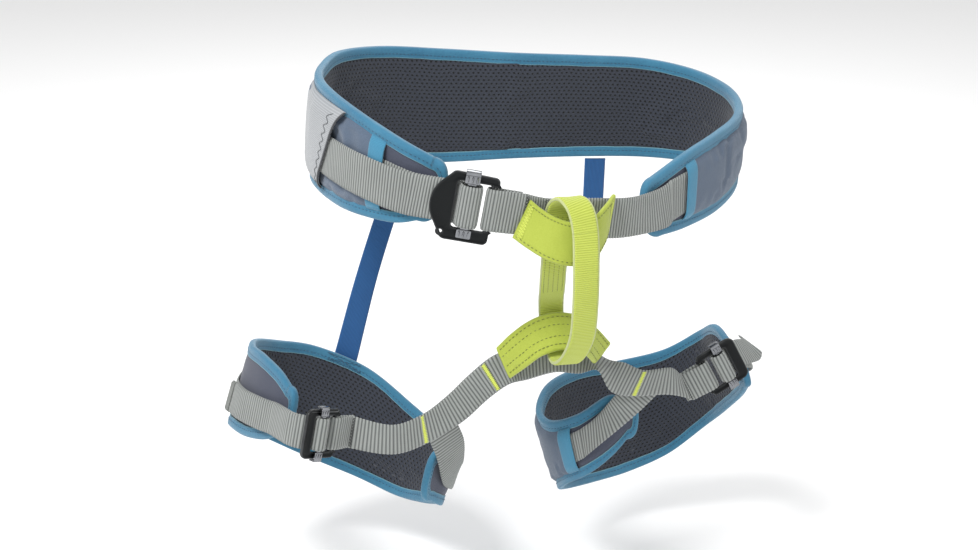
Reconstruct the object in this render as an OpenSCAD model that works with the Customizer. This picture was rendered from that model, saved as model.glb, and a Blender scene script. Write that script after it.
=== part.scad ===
// Climbing harness, sport type: padded waist belt, two padded leg loops, three metal adjusters,
// two tie-in loops, a belay loop and two rear risers. Millimetres.
// X = to the right as seen from the front, Y = towards the wearer's back, Z = up.
// Left and right in the names are as seen from the front.
// Origin = middle of the waist opening.

/* [Node] */
// Which sub-part is drawn, or all of them

/* [Padding] */
// Thickness of the binding round the waist pad
waist_edge = 7; // [5:0.5:9]
// Thickness of the binding round the leg pads
leg_edge = 6; // [4:0.5:8]
// How far the binding folds over each face
fold = 9; // [7:0.5:11]
// Swell of the cover over the webbing channel
swell = 3.4; // [3.2:0.1:4]

/* [Webbing] */
// Width of the waist webbing
waist_web = 32; // [28:1:34]
// Width of the leg webbing
leg_web = 25; // [22:1:26]
// Thickness of the grey webbing
web_thick = 1.8; // [1.4:0.1:1.9]
// Width of the belay loop
belay_width = 18; // [15:1:19]
// Thickness of the belay loop, several plies sewn together
belay_thick = 4; // [3:0.5:4.5]
// Thickness of the two tie-in loops
tie_thick = 3; // [2:0.5:3.5]

/* [Adjusters] */
// Thickness of the adjuster plates
plate = 2.4; // [2:0.2:2.8]
// Radius of the bar the fixed webbing is sewn round
bar_r = 1.7; // [1.4:0.1:1.8]

/* [Hidden] */
gap = 0.5;
half_ww = waist_web / 2;
half_lw = leg_web / 2;

// ---- shapes written by hand: [top x, y, z, bottom x, y, z] along each band, clockwise from above

// Waist pad: front left tip, left hip, back, right hip, front right tip
WAIST = [
  [-90, -105, 33, -102, -101, -15], [-112, -96, 45, -119, -92, -18], [-138, -69, 60, -144, -66, -16],
  [-153, -32, 68, -157, -32, -14], [-157, 5, 71, -163, 5, -11], [-149, 48, 71, -155, 48, -14],
  [-130, 86, 73, -135, 84, -21], [-92, 112, 70, -93, 111, -27], [-40, 120, 64, -40, 120, -32],
  [20, 120, 58, 20, 120, -32], [80, 122, 53, 80, 122, -34], [130, 118, 49, 130, 118, -36],
  [166, 96, 43, 163, 96, -36], [183, 60, 37, 179, 60, -34], [182, 22, 32, 179, 20, -31],
  [166, -20, 30, 163, -22, -32], [138, -56, 27, 136, -58, -36], [106, -85, 21, 104, -86, -38],
  [74, -103, 8, 82, -101, -38]];

// Left leg pad: outer front tip, outer side, back, inner side, inner front tip
LEFT = [
  [-193, -56, -153, -202, -58, -188], [-199, -44, -145, -211, -48, -199],
  [-209, -22, -139, -225, -22, -206], [-214, 8, -142, -234, 8, -209],
  [-208, 44, -150, -229, 44, -222], [-188, 74, -163, -208, 70, -243],
  [-154, 88, -176, -168, 78, -269], [-112, 86, -198, -126, 74, -290],
  [-78, 66, -226, -96, 54, -301], [-58, 34, -240, -80, 24, -296],
  [-52, 0, -238, -72, -6, -285], [-60, -30, -228, -76, -34, -273],
  [-76, -46, -220, -86, -48, -262]];

// Right leg pad: inner front tip, inner side, back, outer side, outer front tip
RIGHT = [
  [74, -56, -190, 72, -56, -220], [58, -58, -181, 60, -56, -234],
  [34, -50, -198, 44, -50, -250], [17, -28, -211, 32, -30, -266],
  [14, 0, -211, 34, 0, -284], [30, 32, -203, 46, 26, -296],
  [62, 60, -202, 74, 50, -303], [102, 78, -205, 110, 64, -302],
  [142, 76, -197, 146, 62, -287], [168, 56, -174, 173, 44, -256],
  [170, 26, -159, 181, 16, -231], [171, -4, -161, 183, -12, -209],
  [174, -28, -169, 181, -30, -194]];

// Upper tie-in loop: sewn to the waist webbing at both ends, sagging forwards between them
SLING = [
  [38, -129, 4, 33, -129, -22], [30, -139, 0, 28, -140, -30], [17, -148, -7, 16, -151, -39],
  [2, -149, -9, 0, -152, -41], [-9, -145, -6, -15, -149, -37], [-18, -138.5, -1, -28, -141, -30],
  [-25, -134, 5, -38, -133, -23]];

// Lower tie-in loop: an arch over the webbing between the leg loops
ARCH = [
  [52, -74, -130, 38, -78, -145], [38, -80, -114, 30, -92, -134], [26, -80, -105, 22, -98, -127],
  [8, -80, -101, 6, -101, -124], [-10, -80, -105, -8, -100, -128], [-25, -80, -114, -18, -94, -138],
  [-37, -76, -127, -28, -84, -150]];

// Belay loop, centre of the closed ring
BELAY = [
  [9, -160, -14], [10, -160, -42], [12, -151, -74], [13.5, -137, -102], [11, -119, -124],
  [8, -102, -132], [7, -87, -122], [6, -74, -107], [5, -76, -92], [1, -95, -77],
  [-4, -118, -57], [-6, -130, -38], [-6, -132.5, -18], [-4, -136.5, 0], [1, -146, 7], [6, -156, 2]];

// Webbing between the leg loops, from the right adjuster to the left one, middle part
BRIDGE = [
  [102, -76, -152, 99, -74, -177], [80, -76, -155, 68, -73, -177], [66, -69, -150, 53, -77, -170],
  [54, -61, -149, 41, -82, -150], [32, -64, -133, 27, -78, -153], [10, -66, -129, 9, -74, -152],
  [-14, -67, -132, -13, -75, -156], [-38, -71, -135, -28, -77, -158], [-58, -74, -148, -44, -76, -169],
  [-76, -75, -164, -64, -76, -186], [-96, -79, -176, -92, -77, -201], [-120, -83, -181, -120, -81, -206]];

// Adjusters: middle of the fixed bar and the turn of the adjuster
WB = [[-54, -126, -2], [94, 10, -12]];
LB = [[-167, -86, -182], [90, 15, 36]];
RB = [[136, -64, -167], [90, 152, 4]];

// ---- helpers

function unit(v) = v / norm(v);
function top(s) = [s[0], s[1], s[2]];
function bot(s) = [s[3], s[4], s[5]];
function mid(s) = (top(s) + bot(s)) / 2;
function pair(a, b) = [a[0], a[1], a[2], b[0], b[1], b[2]];
function at(P, i) = P[max(0, min(len(P) - 1, i))];
function cr(a, b, c, d, t) =
  0.5 * (2 * b + (c - a) * t + (2 * a - 5 * b + 4 * c - d) * t * t + (3 * b - a - 3 * c + d) * t * t * t);
function along(P, u) = let (i = max(0, min(floor(u), len(P) - 2)))
  cr(at(P, i - 1), P[i], P[i + 1], at(P, i + 2), u - i);
function smooth(P, n) = [for (i = [0:len(P) - 2]) for (k = [0:n - 1]) along(P, i + k / n), P[len(P) - 1]];

// Frame of a band at u: [centre, up, outward, half height, swell factor, forward]
function fr(P, u) = let (s = along(P, u), a = along(P, max(u - 0.05, 0)),
    b = along(P, min(u + 0.05, len(P) - 1)), w = unit(top(s) - bot(s)), n = unit(cross(w, mid(b) - mid(a))))
  [mid(s), w, n, norm(top(s) - bot(s)) / 2, 1, cross(n, w)];
// Stations shrinking round a rounded end
function sq(a) = sign(a) * pow(abs(a), 0.75);
function tip(f, inset, dir, angles) = [for (g = angles) let (h = f[3] - inset)
  [f[0] + f[5] * dir * h * 0.6 * sq(sin(g)), f[1], f[2], h * sq(cos(g)), sq(cos(g)), f[5]]];
function inside(f, inset) = [f[0], f[1], f[2], f[3] - inset, 1, f[5]];
function steps(a, b, n) = [for (k = [0:n]) a + (b - a) * k / n];
// Whole pad outline, both rounded ends included
function whole(P, inset, n) = let (e = len(P) - 1) concat(
  tip(fr(P, 0), inset, -1, [72, 54, 36, 18]), [for (u = steps(0, e, n)) inside(fr(P, u), inset)],
  tip(fr(P, e), inset, 1, [18, 36, 54, 72]));
// Part of a pad between a and b, on the same half stations as the whole
function halves(a, b) = concat([a], [for (k = [ceil(a * 2 + 0.2):floor(b * 2 - 0.2)]) k / 2], [b]);
function part(P, inset, a, b) = [for (u = halves(a, b)) inside(fr(P, u), inset)];

VS = [0, 0.04, 0.1, 0.22, 0.5, 0.78, 0.9, 0.96, 1];
function bulge(v) = 1 - pow(2 * v - 1, 6);
function spot(f, v, o, b) = f[0] + f[1] * f[3] * (2 * v - 1) + f[2] * (o + b * f[4] * bulge(v));

// Closed skin through rings of points: m points up the inner face, then m down the outer face
module skin(R, closed = false) {
  k = len(R[0]); m = k / 2; n = len(R); e = closed ? n : n - 1;
  sides = [for (i = [0:e - 1]) for (j = [0:k - 1])
    let (o = ((i + 1) % n) * k, a = i * k + j, b = i * k + (j + 1) % k, c = o + (j + 1) % k, d = o + j)
    each [[a, b, c], [a, c, d]]];
  caps = closed ? [] : [for (j = [0:m - 2]) let (o = (n - 1) * k) each [
    [k - 1 - j, k - 2 - j, j + 1], [k - 1 - j, j + 1, j],
    [o + j, o + j + 1, o + k - 2 - j], [o + j, o + k - 2 - j, o + k - 1 - j]]];
  polyhedron([for (r = R) each r], concat(sides, caps), convexity = 8);
}
// One layer of a pad between two offsets, each with its own swell
module layer(F, o0, b0, o1, b1) {
  skin([for (f = F) concat([for (v = VS) spot(f, v, o0, b0)], [for (i = [8:-1:0]) spot(f, VS[i], o1, b1)])]);
}
// Edge of a pad at an inset, running along the top, round the end, back along the bottom
function rim(P, inset, n) = let (e = len(P) - 1, A = fr(P, 0), Z = fr(P, e)) concat(
  [for (u = steps(0, e, n)) let (f = fr(P, u)) [f[0] + f[1] * (f[3] - inset), f[2]]],
  [for (g = [72, 54, 36, 18, 0, -18, -36, -54, -72]) let (h = Z[3] - inset)
    [Z[0] + Z[1] * h * sq(sin(g)) + Z[5] * h * 0.6 * sq(cos(g)), Z[2]]],
  [for (u = steps(e, 0, n)) let (f = fr(P, u)) [f[0] - f[1] * (f[3] - inset), f[2]]],
  [for (g = [-72, -54, -36, -18, 0, 18, 36, 54, 72]) let (h = A[3] - inset)
    [A[0] + A[1] * h * sq(sin(g)) - A[5] * h * 0.6 * sq(cos(g)), A[2]]]);
module binding(P, n, t) {
  A = rim(P, 0, n); B = rim(P, fold, n); C = rim(P, 1.4, n);
  skin([for (i = [0:len(A) - 1]) let (k = A[i][1] * t / 2)
    [B[i][0] - k * 0.9, C[i][0] - k, A[i][0] - k * 0.4, A[i][0] + k * 0.4, C[i][0] + k, B[i][0] + k * 0.9]],
    closed = true);
}
// Flat band through stations of top and bottom edges
module band(S, t) {
  n = len(S) - 1;
  skin([for (i = [0:n]) let (w = unit(top(S[i]) - bot(S[i])),
      d = mid(S[min(i + 1, n)]) - mid(S[max(i - 1, 0)]), k = unit(cross(w, d)) * t / 2)
    [bot(S[i]) - k, top(S[i]) - k, top(S[i]) + k, bot(S[i]) + k]]);
}
// Band lying on a pad: [u, outward offset, share of the height] for each station
function lying(P, L, half) = [for (l = L) let (f = fr(P, l[0]), c = f[0] + f[2] * l[1] + f[1] * f[3] * l[2])
  pair(c + f[1] * half, c - f[1] * half)];

// The same band a little further out, between two of its stations
function over(S, a, b, o) = [for (i = [a:b]) let (w = unit(top(S[i]) - bot(S[i])),
    d = mid(S[min(i + 1, len(S) - 1)]) - mid(S[max(i - 1, 0)]), k = unit(cross(w, d)) * o)
  pair(top(S[i]) + k, bot(S[i]) + k)];
function flipped(S) = [for (i = [len(S) - 1:-1:0]) S[i]];

// Point in the frame of an adjuster
function turned(v, r) = let (
    a = [v[0], v[1] * cos(r[0]) - v[2] * sin(r[0]), v[1] * sin(r[0]) + v[2] * cos(r[0])],
    b = [a[0] * cos(r[1]) + a[2] * sin(r[1]), a[1], -a[0] * sin(r[1]) + a[2] * cos(r[1])])
  [b[0] * cos(r[2]) - b[1] * sin(r[2]), b[0] * sin(r[2]) + b[1] * cos(r[2]), b[2]];
function place(B, x, y, z) = B[0] + turned([x, y, z], B[1]);
// Band station in the frame of an adjuster; up is -1 for an adjuster that is the other way up
function web_at(B, x, z, half, up = 1) = pair(place(B, x, half * up, z), place(B, x, -half * up, z));

module put(B) { translate(B[0]) rotate(B[1]) children(); }

// ---- waist

module waist_liner() color([0.17, 0.19, 0.24]) layer(whole(WAIST, fold + gap, 36), -2.8, -2, -1.8, -2);
module waist_foam() color([0.30, 0.31, 0.34]) layer(whole(WAIST, fold + gap, 36), -1.6, -2, 0.8, 0.8);
module waist_backing() color([0.42, 0.46, 0.53]) layer(whole(WAIST, fold + gap, 36), 1, 0.8, 1.8, 0.8);
module waist_shell() color([0.47, 0.51, 0.59])
  layer(part(WAIST, fold + gap, 1.3, 17.05), 2.2, swell, 3, swell);
module waist_binding() color([0.29, 0.59, 0.73]) binding(WAIST, 36, waist_edge);
module waist_slot_tape_left() color([0.29, 0.59, 0.73])
  layer(part(WAIST, fold + gap, 1.3, 1.55), 3.2, swell, 3.8, swell);
module waist_slot_tape_right() color([0.29, 0.59, 0.73])
  layer(part(WAIST, fold + gap, 16.88, 17.05), 3.2, swell, 3.8, swell);
// Elastic sleeve over the free end, its swell falling towards the back
module tail_sleeve() color([0.75, 0.76, 0.77])
  layer([for (k = [0:6]) let (f = fr(WAIST, 2.65 + k * 0.3))
    [f[0], f[1], f[2], f[3] - fold - gap, k < 3 ? 1 : 1 - (k - 2) * 0.12, f[5]]], 3.5, 6.9, 4.3, 6.9);

// Waist webbing: from the turn over the left tip, through the channel, off the right tip to the bar
WAIST_IN = smooth(concat([for (x = [-16, -25, -36]) web_at(WB, x, -3.6, half_ww)],
  lying(WAIST, [[0.4, 5.6, -0.16], [0.8, 4.5, -0.12], [1.2, 3.75, -0.08]], half_ww)), 2);
WAIST_RUN = concat(WAIST_IN,
  lying(WAIST, [for (u = [1.5:0.5:17]) [u, u > 16 ? 3.6 : 3.75, u < 3 ? -0.08 : 0]], half_ww),
  smooth(concat(lying(WAIST, [[17.5, 4.4, 0], [18, 6, -0.04]], half_ww),
    [for (s = [[54, -120, -1, -32.5], [30, -125, 1, -30.5], [6, -126.8, 3, -28.5], [-12, -127, 4, -27.5]])
      [s[0], s[1] - 1.6, s[2], s[0] - 2, s[1] + 1.6, s[3]]],
    [web_at(WB, 24, 0.6, half_ww)]), 2));
WAIST_LOOP = concat(
  [for (q = [[14, 2.6], [4, 4.2]]) web_at(WB, q[0], q[1], half_ww)],
  [for (g = [110, 140, 167, 193, 220, 250]) web_at(WB, 3.1 * cos(g), 1.2 + 3.1 * sin(g), half_ww)],
  [for (q = [[4, -1.9], [14, -2.1], [22, -2.2]]) web_at(WB, q[0], q[1], half_ww)]);
module waist_webbing() color([0.55, 0.56, 0.56]) band(concat(WAIST_RUN, WAIST_LOOP), web_thick);
module waist_webbing_turn() color([0.55, 0.56, 0.56]) band(smooth([for (q = [[-15.5, -3.6], [-10, -3],
  [-7.2, 1], [-9, 5.4], [-15, 6.6], [-20.5, 5.2], [-22.3, 1.6], [-24, -1], [-27, -1.5]])
  web_at(WB, q[0], q[1], half_ww)], 2), web_thick);
module waist_webbing_tail() color([0.55, 0.56, 0.56]) band(concat([web_at(WB, -27.8, -1.5, half_ww)],
  over(WAIST_IN, 3, 6, 2.15), smooth(lying(WAIST, [[0.7, 7.4, -0.15], [1.1, 8.4, -0.12], [1.6, 8.8, -0.1],
    [2, 8.8, -0.09], [2.6, 8.6, -0.08], [3.3, 8.5, -0.08]], half_ww), 2)), web_thick);

function arc2(c, r, a, b, n) = [for (k = [0:n]) let (g = a + (b - a) * k / n) c + r * [cos(g), sin(g)]];
// Waist adjuster: broad rounded plate on the webbing side, two arms, a round bar for the sewn loop
module waist_buckle_frame() color([0.10, 0.10, 0.11]) put(WB) union() {
  difference() {
    linear_extrude(plate) difference() {
      polygon(concat(arc2([1, 20], 4, 0, 90, 4), arc2([-26, 20], 5, 90, 125, 2),
        arc2([-18, -1], 25, 142, 206, 8), arc2([-28, -22], 6, 225, 270, 3),
        arc2([-1, -24], 4, 270, 360, 4)));
      polygon([[-25, -18], [-1.2, -18], [-1.2, 18], [-25, 18]]);
      polygon([[1.4, -17], [9, -17], [9, 17], [1.4, 17]]);
    }
    translate([-32, -22.5, -1]) cylinder(h = 6, r = 1.6, $fn = 24);
  }
  translate([0, 26.2 - 8, 1.2]) rotate([90, 0, 0]) cylinder(h = 36.4, r = bar_r, $fn = 32);
}
module waist_buckle_slider() color([0.80, 0.81, 0.83]) put(WB) translate([-15, 0, plate + 0.3]) union() {
  translate([-3.2, -18, 0]) cube([6.4, 36, 2]);
  for (s = [-1, 1]) translate([-5.5, s * 21 - 3.5, 0]) cube([11, 7, 2]);
}

// ---- tie-in points and belay loop

module upper_tie_in_loop() color([0.79, 0.85, 0.30]) band(smooth(SLING, 4), tie_thick);
module lower_tie_in_loop() color([0.79, 0.85, 0.30]) band(smooth(ARCH, 4), tie_thick + 1);
module belay_loop() color([0.84, 0.90, 0.40]) {
  m = len(BELAY);
  C = [for (i = [0:m - 1]) for (k = [0:1]) cr(BELAY[(i + m - 1) % m], BELAY[i], BELAY[(i + 1) % m],
    BELAY[(i + 2) % m], k / 2)];
  n = len(C);
  skin([for (i = [0:n - 1]) let (d = unit(C[(i + 1) % n] - C[(i + n - 1) % n]),
      n0 = unit(cross(d, [1, 0, 0])), w = cross(n0, d) * belay_width / 2, k = n0 * belay_thick / 2)
    [C[i] - w + k, C[i] + w + k, C[i] + w - k, C[i] - w - k]], closed = true);
}

// ---- leg loops

module leg_liner(P) color([0.17, 0.19, 0.24]) layer(whole(P, fold + gap, 24), -2.4, -1.5, -1.7, -1.5);
module leg_foam(P) color([0.30, 0.31, 0.34]) layer(whole(P, fold + gap, 24), -1.3, -1.5, 0.3, 0.6);
module leg_backing(P) color([0.42, 0.46, 0.53]) layer(whole(P, fold + gap, 24), 0.7, 0.6, 1.4, 0.6);
module leg_shell(P, a, b) color([0.47, 0.51, 0.59]) layer(part(P, fold + gap, a, b), 1.8, swell, 2.5, swell);
module leg_tape(P, a, b) color([0.29, 0.59, 0.73]) layer(part(P, fold + gap, a, b), 2.7, swell, 3.4, swell);
module leg_binding(P) color([0.29, 0.59, 0.73]) binding(P, 24, leg_edge);

module leg_frame(B) color([0.10, 0.10, 0.11]) put(B) union() {
  linear_extrude(plate) difference() {
    polygon(concat(arc2([0.5, 15.5], 3.5, 0, 90, 3), arc2([-24, 13], 6, 90, 160, 4),
      arc2([-24, -13], 6, 200, 270, 4), arc2([0.5, -15.5], 3.5, 270, 360, 3)));
    polygon([[-21, -13.8], [-1.2, -13.8], [-1.2, 13.8], [-21, 13.8]]);
    polygon([[1.4, -13.4], [9, -13.4], [9, 13.4], [1.4, 13.4]]);
  }
  translate([0, 14, 1.2]) rotate([90, 0, 0]) cylinder(h = 28, r = bar_r, $fn = 32);
}
module leg_slider(B) color([0.80, 0.81, 0.83]) put(B) translate([-14, 0, plate + 0.3]) union() {
  translate([-2.2, -14, 0]) cube([4.4, 28, 1.8]);
  for (s = [-1, 1]) translate([-4, s * 16.5 - 2.8, 0]) cube([8, 5.6, 1.8]);
}
function leg_loop(B, up) = concat(
  [for (q = [[24, -2.1], [14, -2], [4, -1.9]]) web_at(B, q[0], q[1], half_lw, up)],
  [for (g = [250, 220, 193, 167, 140, 110]) web_at(B, 3.1 * cos(g), 1.2 + 3.1 * sin(g), half_lw, up)],
  [for (q = [[4, 4.2], [12, 2.4]]) web_at(B, q[0], q[1], half_lw, up)]);
module leg_turn(B, up) color([0.55, 0.56, 0.56]) band(smooth([for (q = [[-14.5, -3.4], [-10, -2.9],
  [-7.9, 0.8], [-9.4, 5], [-14, 6.2], [-17.6, 4.9], [-18.6, 1.6], [-20, -0.9], [-23, -1.4]])
  web_at(B, q[0], q[1], half_lw, up)], 2), web_thick);

module leg_bridge() color([0.55, 0.56, 0.56])
  band(concat(leg_loop(RB, -1), smooth(concat([web_at(RB, 20, 0.4, half_lw, -1)], BRIDGE,
    [web_at(LB, 20, 0.4, half_lw)]), 2), flipped(leg_loop(LB, 1))), web_thick);

module left_leg_liner() leg_liner(LEFT);
module left_leg_foam() leg_foam(LEFT);
module left_leg_backing() leg_backing(LEFT);
module left_leg_shell() leg_shell(LEFT, 4.3, 9.4);
module left_leg_binding() leg_binding(LEFT);
module left_leg_slot_tape_outer() leg_tape(LEFT, 4.3, 4.52);
module left_leg_slot_tape_inner() leg_tape(LEFT, 9.16, 9.4);
// Left leg webbing: from the turn back to the outer tip, through the channel, round the inner tip
LEFT_IN = smooth(concat(
  [for (q = [[-15, -3.4], [-21, -4.6], [-25, -9.5], [-26, -18]]) web_at(LB, q[0], q[1], half_lw)],
  lying(LEFT, [[0.4, 5.4, -0.42], [1.2, 4.8, -0.3], [2, 4.6, -0.28], [2.5, 4.4, -0.28], [3, 4, -0.26],
    [3.5, 3.6, -0.2], [4, 3.4, -0.06]], half_lw)), 2);
module left_leg_webbing() color([0.55, 0.56, 0.56]) band(concat(LEFT_IN,
  lying(LEFT, [for (u = [4.5:0.5:9.5]) [u, 3.3, 0.04]], half_lw), smooth(concat(
  lying(LEFT, [[10, 4, 0.08], [10.5, 5, 0.14]], half_lw), [[-56, -40, -232, -74, -46, -250],
  [-60, -60, -206, -82, -62, -220], [-72, -71, -178, -94, -71, -190]]), 2)), web_thick);
module left_leg_webbing_turn() leg_turn(LB, 1);
module left_leg_webbing_tail() color([0.55, 0.56, 0.56]) band(concat(
  smooth([for (q = [[-23.6, -1.4], [-27, -3.6], [-29, -9.5]]) web_at(LB, q[0], q[1], half_lw)], 2),
  over(LEFT_IN, 6, 15, 2.3), lying(LEFT, [[3.05, 7.4, -0.28]], half_lw)), web_thick);
module left_leg_buckle_frame() leg_frame(LB);
module left_leg_buckle_slider() leg_slider(LB);

module right_leg_liner() leg_liner(RIGHT);
module right_leg_foam() leg_foam(RIGHT);
module right_leg_backing() leg_backing(RIGHT);
module right_leg_shell() leg_shell(RIGHT, 2.3, 9.6);
module right_leg_binding() leg_binding(RIGHT);
module right_leg_slot_tape_outer() leg_tape(RIGHT, 9.38, 9.6);
module right_leg_slot_tape_inner() leg_tape(RIGHT, 2.3, 2.62);
// Right leg webbing: round the inner side, through the channel, over the outer tip to the turn
RIGHT_OUT = smooth(concat(lying(RIGHT, [[10, 3.6, 0], [10.5, 4, 0.08], [11, 4.7, 0.25]], half_lw),
  [[177, -23, -159, 184, -25, -183], [173, -35, -153, 183, -36, -176], [164, -48, -149, 175, -47, -171]],
  [for (x = [-21, -15.4]) web_at(RB, x, -3.4, half_lw, -1)]), 2);
module right_leg_webbing() color([0.55, 0.56, 0.56]) band(concat(smooth(concat([
  [76, -66, -164, 94, -66, -180], [60, -66, -178, 76, -67, -196]],
  lying(RIGHT, [[1.5, 6, 0.2], [2, 4.4, 0.08]], half_lw)), 2),
  lying(RIGHT, [for (u = [2.5:0.5:9.5]) [u, 3.3, 0.02]], half_lw), RIGHT_OUT), web_thick);
module right_leg_webbing_turn() leg_turn(RB, -1);
module right_leg_webbing_tail() color([0.55, 0.56, 0.56]) band(smooth(concat(
  [[169, -38, -146, 189, -40, -162], [169, -46, -146, 185, -45, -166]],
  [for (q = [[-31, -2.6], [-23.6, -1.4]]) web_at(RB, q[0], q[1], half_lw, -1)]), 2), web_thick);
module right_leg_buckle_frame() leg_frame(RB);
module right_leg_buckle_slider() leg_slider(RB);

// ---- rear risers, elastic, from the waist binding to the leg pads

module left_riser() color([0.12, 0.36, 0.62]) band([
  [-84, 120, -34, -66, 120, -35], [-99, 116, -72, -81, 116, -73], [-119, 106, -125, -101, 106, -128],
  [-137, 94.4, -178, -119, 93.8, -187],
  [-141, 93.4, -190, -123, 92.6, -199]], 1.6);
module right_riser() color([0.12, 0.36, 0.62]) band([
  [82, 122, -36, 100, 122, -37], [77, 110, -88, 95, 111, -88], [69, 88, -144, 87, 92, -145],
  [59, 65.2, -192, 77, 75.5, -194], [60.5, 64, -209, 78.4, 74, -211]], 1.6);

waist_liner();
waist_foam();
waist_backing();
waist_shell();
waist_binding();
waist_slot_tape_left();
waist_slot_tape_right();
tail_sleeve();
waist_webbing();
waist_webbing_turn();
waist_webbing_tail();
waist_buckle_frame();
waist_buckle_slider();
upper_tie_in_loop();
belay_loop();
lower_tie_in_loop();
leg_bridge();
left_leg_liner();
left_leg_foam();
left_leg_backing();
left_leg_shell();
left_leg_binding();
left_leg_slot_tape_outer();
left_leg_slot_tape_inner();
left_leg_webbing();
left_leg_webbing_turn();
left_leg_webbing_tail();
left_leg_buckle_frame();
left_leg_buckle_slider();
right_leg_liner();
right_leg_foam();
right_leg_backing();
right_leg_shell();
right_leg_binding();
right_leg_slot_tape_outer();
right_leg_slot_tape_inner();
right_leg_webbing();
right_leg_webbing_turn();
right_leg_webbing_tail();
right_leg_buckle_frame();
right_leg_buckle_slider();
left_riser();
right_riser();
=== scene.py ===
"""Looks of a climbing harness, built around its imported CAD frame.

Lengths are in millimetres up to the helper that makes a mesh, which turns them into metres.
The frame of the part: X to the viewer's right, Y towards the wearer's back, Z up, origin in the
middle of the waist opening.
"""

import math

import bpy
import numpy as np
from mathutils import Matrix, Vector
from mathutils.geometry import tessellate_polygon


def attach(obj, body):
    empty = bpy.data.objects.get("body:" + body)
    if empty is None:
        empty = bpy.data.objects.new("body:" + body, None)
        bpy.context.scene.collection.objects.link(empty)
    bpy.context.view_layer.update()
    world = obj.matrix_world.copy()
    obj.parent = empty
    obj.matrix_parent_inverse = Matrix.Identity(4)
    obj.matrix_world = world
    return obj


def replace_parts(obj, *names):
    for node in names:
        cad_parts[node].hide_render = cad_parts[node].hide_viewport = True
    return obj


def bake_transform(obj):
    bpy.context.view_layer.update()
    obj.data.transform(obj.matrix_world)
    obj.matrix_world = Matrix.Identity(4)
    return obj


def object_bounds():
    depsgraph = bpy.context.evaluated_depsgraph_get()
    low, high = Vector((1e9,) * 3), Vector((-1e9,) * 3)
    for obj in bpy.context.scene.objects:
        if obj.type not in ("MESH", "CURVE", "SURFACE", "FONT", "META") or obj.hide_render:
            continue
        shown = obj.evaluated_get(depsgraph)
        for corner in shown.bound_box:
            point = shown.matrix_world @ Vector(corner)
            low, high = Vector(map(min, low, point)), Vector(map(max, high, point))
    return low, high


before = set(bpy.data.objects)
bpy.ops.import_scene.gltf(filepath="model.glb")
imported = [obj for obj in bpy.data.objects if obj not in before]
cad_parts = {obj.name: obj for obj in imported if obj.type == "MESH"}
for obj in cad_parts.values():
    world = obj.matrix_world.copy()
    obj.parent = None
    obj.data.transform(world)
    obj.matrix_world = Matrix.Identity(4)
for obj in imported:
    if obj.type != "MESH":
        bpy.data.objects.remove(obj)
cad_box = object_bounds()
MM = 0.001
scene = bpy.context.scene
scene.view_settings.view_transform = "Standard"

# ---------------------------------------------------------------- camera

VIEW_AZIMUTH, VIEW_ELEVATION = math.radians(-12), math.radians(18)
VIEW_DISTANCE = 1.6
VIEW_TARGET = Vector((-0.0318, -0.0221, -0.0868))
toward_camera = Vector((math.sin(VIEW_AZIMUTH) * math.cos(VIEW_ELEVATION),
                        -math.cos(VIEW_AZIMUTH) * math.cos(VIEW_ELEVATION),
                        math.sin(VIEW_ELEVATION)))
camera_data = bpy.data.cameras.new("camera")
camera_data.lens = 75.5
camera_data.sensor_width = 36
camera = bpy.data.objects.new("camera", camera_data)
camera.location = VIEW_TARGET + toward_camera * VIEW_DISTANCE
camera.rotation_euler = toward_camera.to_track_quat("Z", "Y").to_euler()
scene.collection.objects.link(camera)
scene.camera = camera

# ---------------------------------------------------------------- dimensions of the CAD part

FOLD = 9.0
SWELL = 3.4
WAIST_EDGE, LEG_EDGE = 7.0, 6.0
WAIST_WIDTH, LEG_WIDTH = 32.0, 25.0
WEB_THICK = 1.8
BELAY_WIDTH, BELAY_THICK = 18.0, 4.0
TIE_THICK = 3.0
PLATE = 2.4
BAR_R = 1.7

# Bands, as in the CAD part: [top x, y, z, bottom x, y, z], clockwise from above
WAIST = np.array([
    [-90, -105, 33, -102, -101, -15], [-112, -96, 45, -119, -92, -18], [-138, -69, 60, -144, -66, -16],
    [-153, -32, 68, -157, -32, -14], [-157, 5, 71, -163, 5, -11], [-149, 48, 71, -155, 48, -14],
    [-130, 86, 73, -135, 84, -21], [-92, 112, 70, -93, 111, -27], [-40, 120, 64, -40, 120, -32],
    [20, 120, 58, 20, 120, -32], [80, 122, 53, 80, 122, -34], [130, 118, 49, 130, 118, -36],
    [166, 96, 43, 163, 96, -36], [183, 60, 37, 179, 60, -34], [182, 22, 32, 179, 20, -31],
    [166, -20, 30, 163, -22, -32], [138, -56, 27, 136, -58, -36], [106, -85, 21, 104, -86, -38],
    [74, -103, 8, 82, -101, -38]], float)
LEFT = np.array([
    [-193, -56, -153, -202, -58, -188], [-199, -44, -145, -211, -48, -199],
    [-209, -22, -139, -225, -22, -206], [-214, 8, -142, -234, 8, -209],
    [-208, 44, -150, -229, 44, -222], [-188, 74, -163, -208, 70, -243],
    [-154, 88, -176, -168, 78, -269], [-112, 86, -198, -126, 74, -290],
    [-78, 66, -226, -96, 54, -301], [-58, 34, -240, -80, 24, -296],
    [-52, 0, -238, -72, -6, -285], [-60, -30, -228, -76, -34, -273],
    [-76, -46, -220, -86, -48, -262]], float)
RIGHT = np.array([
    [74, -56, -190, 72, -56, -220], [58, -58, -181, 60, -56, -234],
    [34, -50, -198, 44, -50, -250], [17, -28, -211, 32, -30, -266],
    [14, 0, -211, 34, 0, -284], [30, 32, -203, 46, 26, -296],
    [62, 60, -202, 74, 50, -303], [102, 78, -205, 110, 64, -302],
    [142, 76, -197, 146, 62, -287], [168, 56, -174, 173, 44, -256],
    [170, 26, -159, 181, 16, -231], [171, -4, -161, 183, -12, -209],
    [174, -28, -169, 181, -30, -194]], float)
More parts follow.
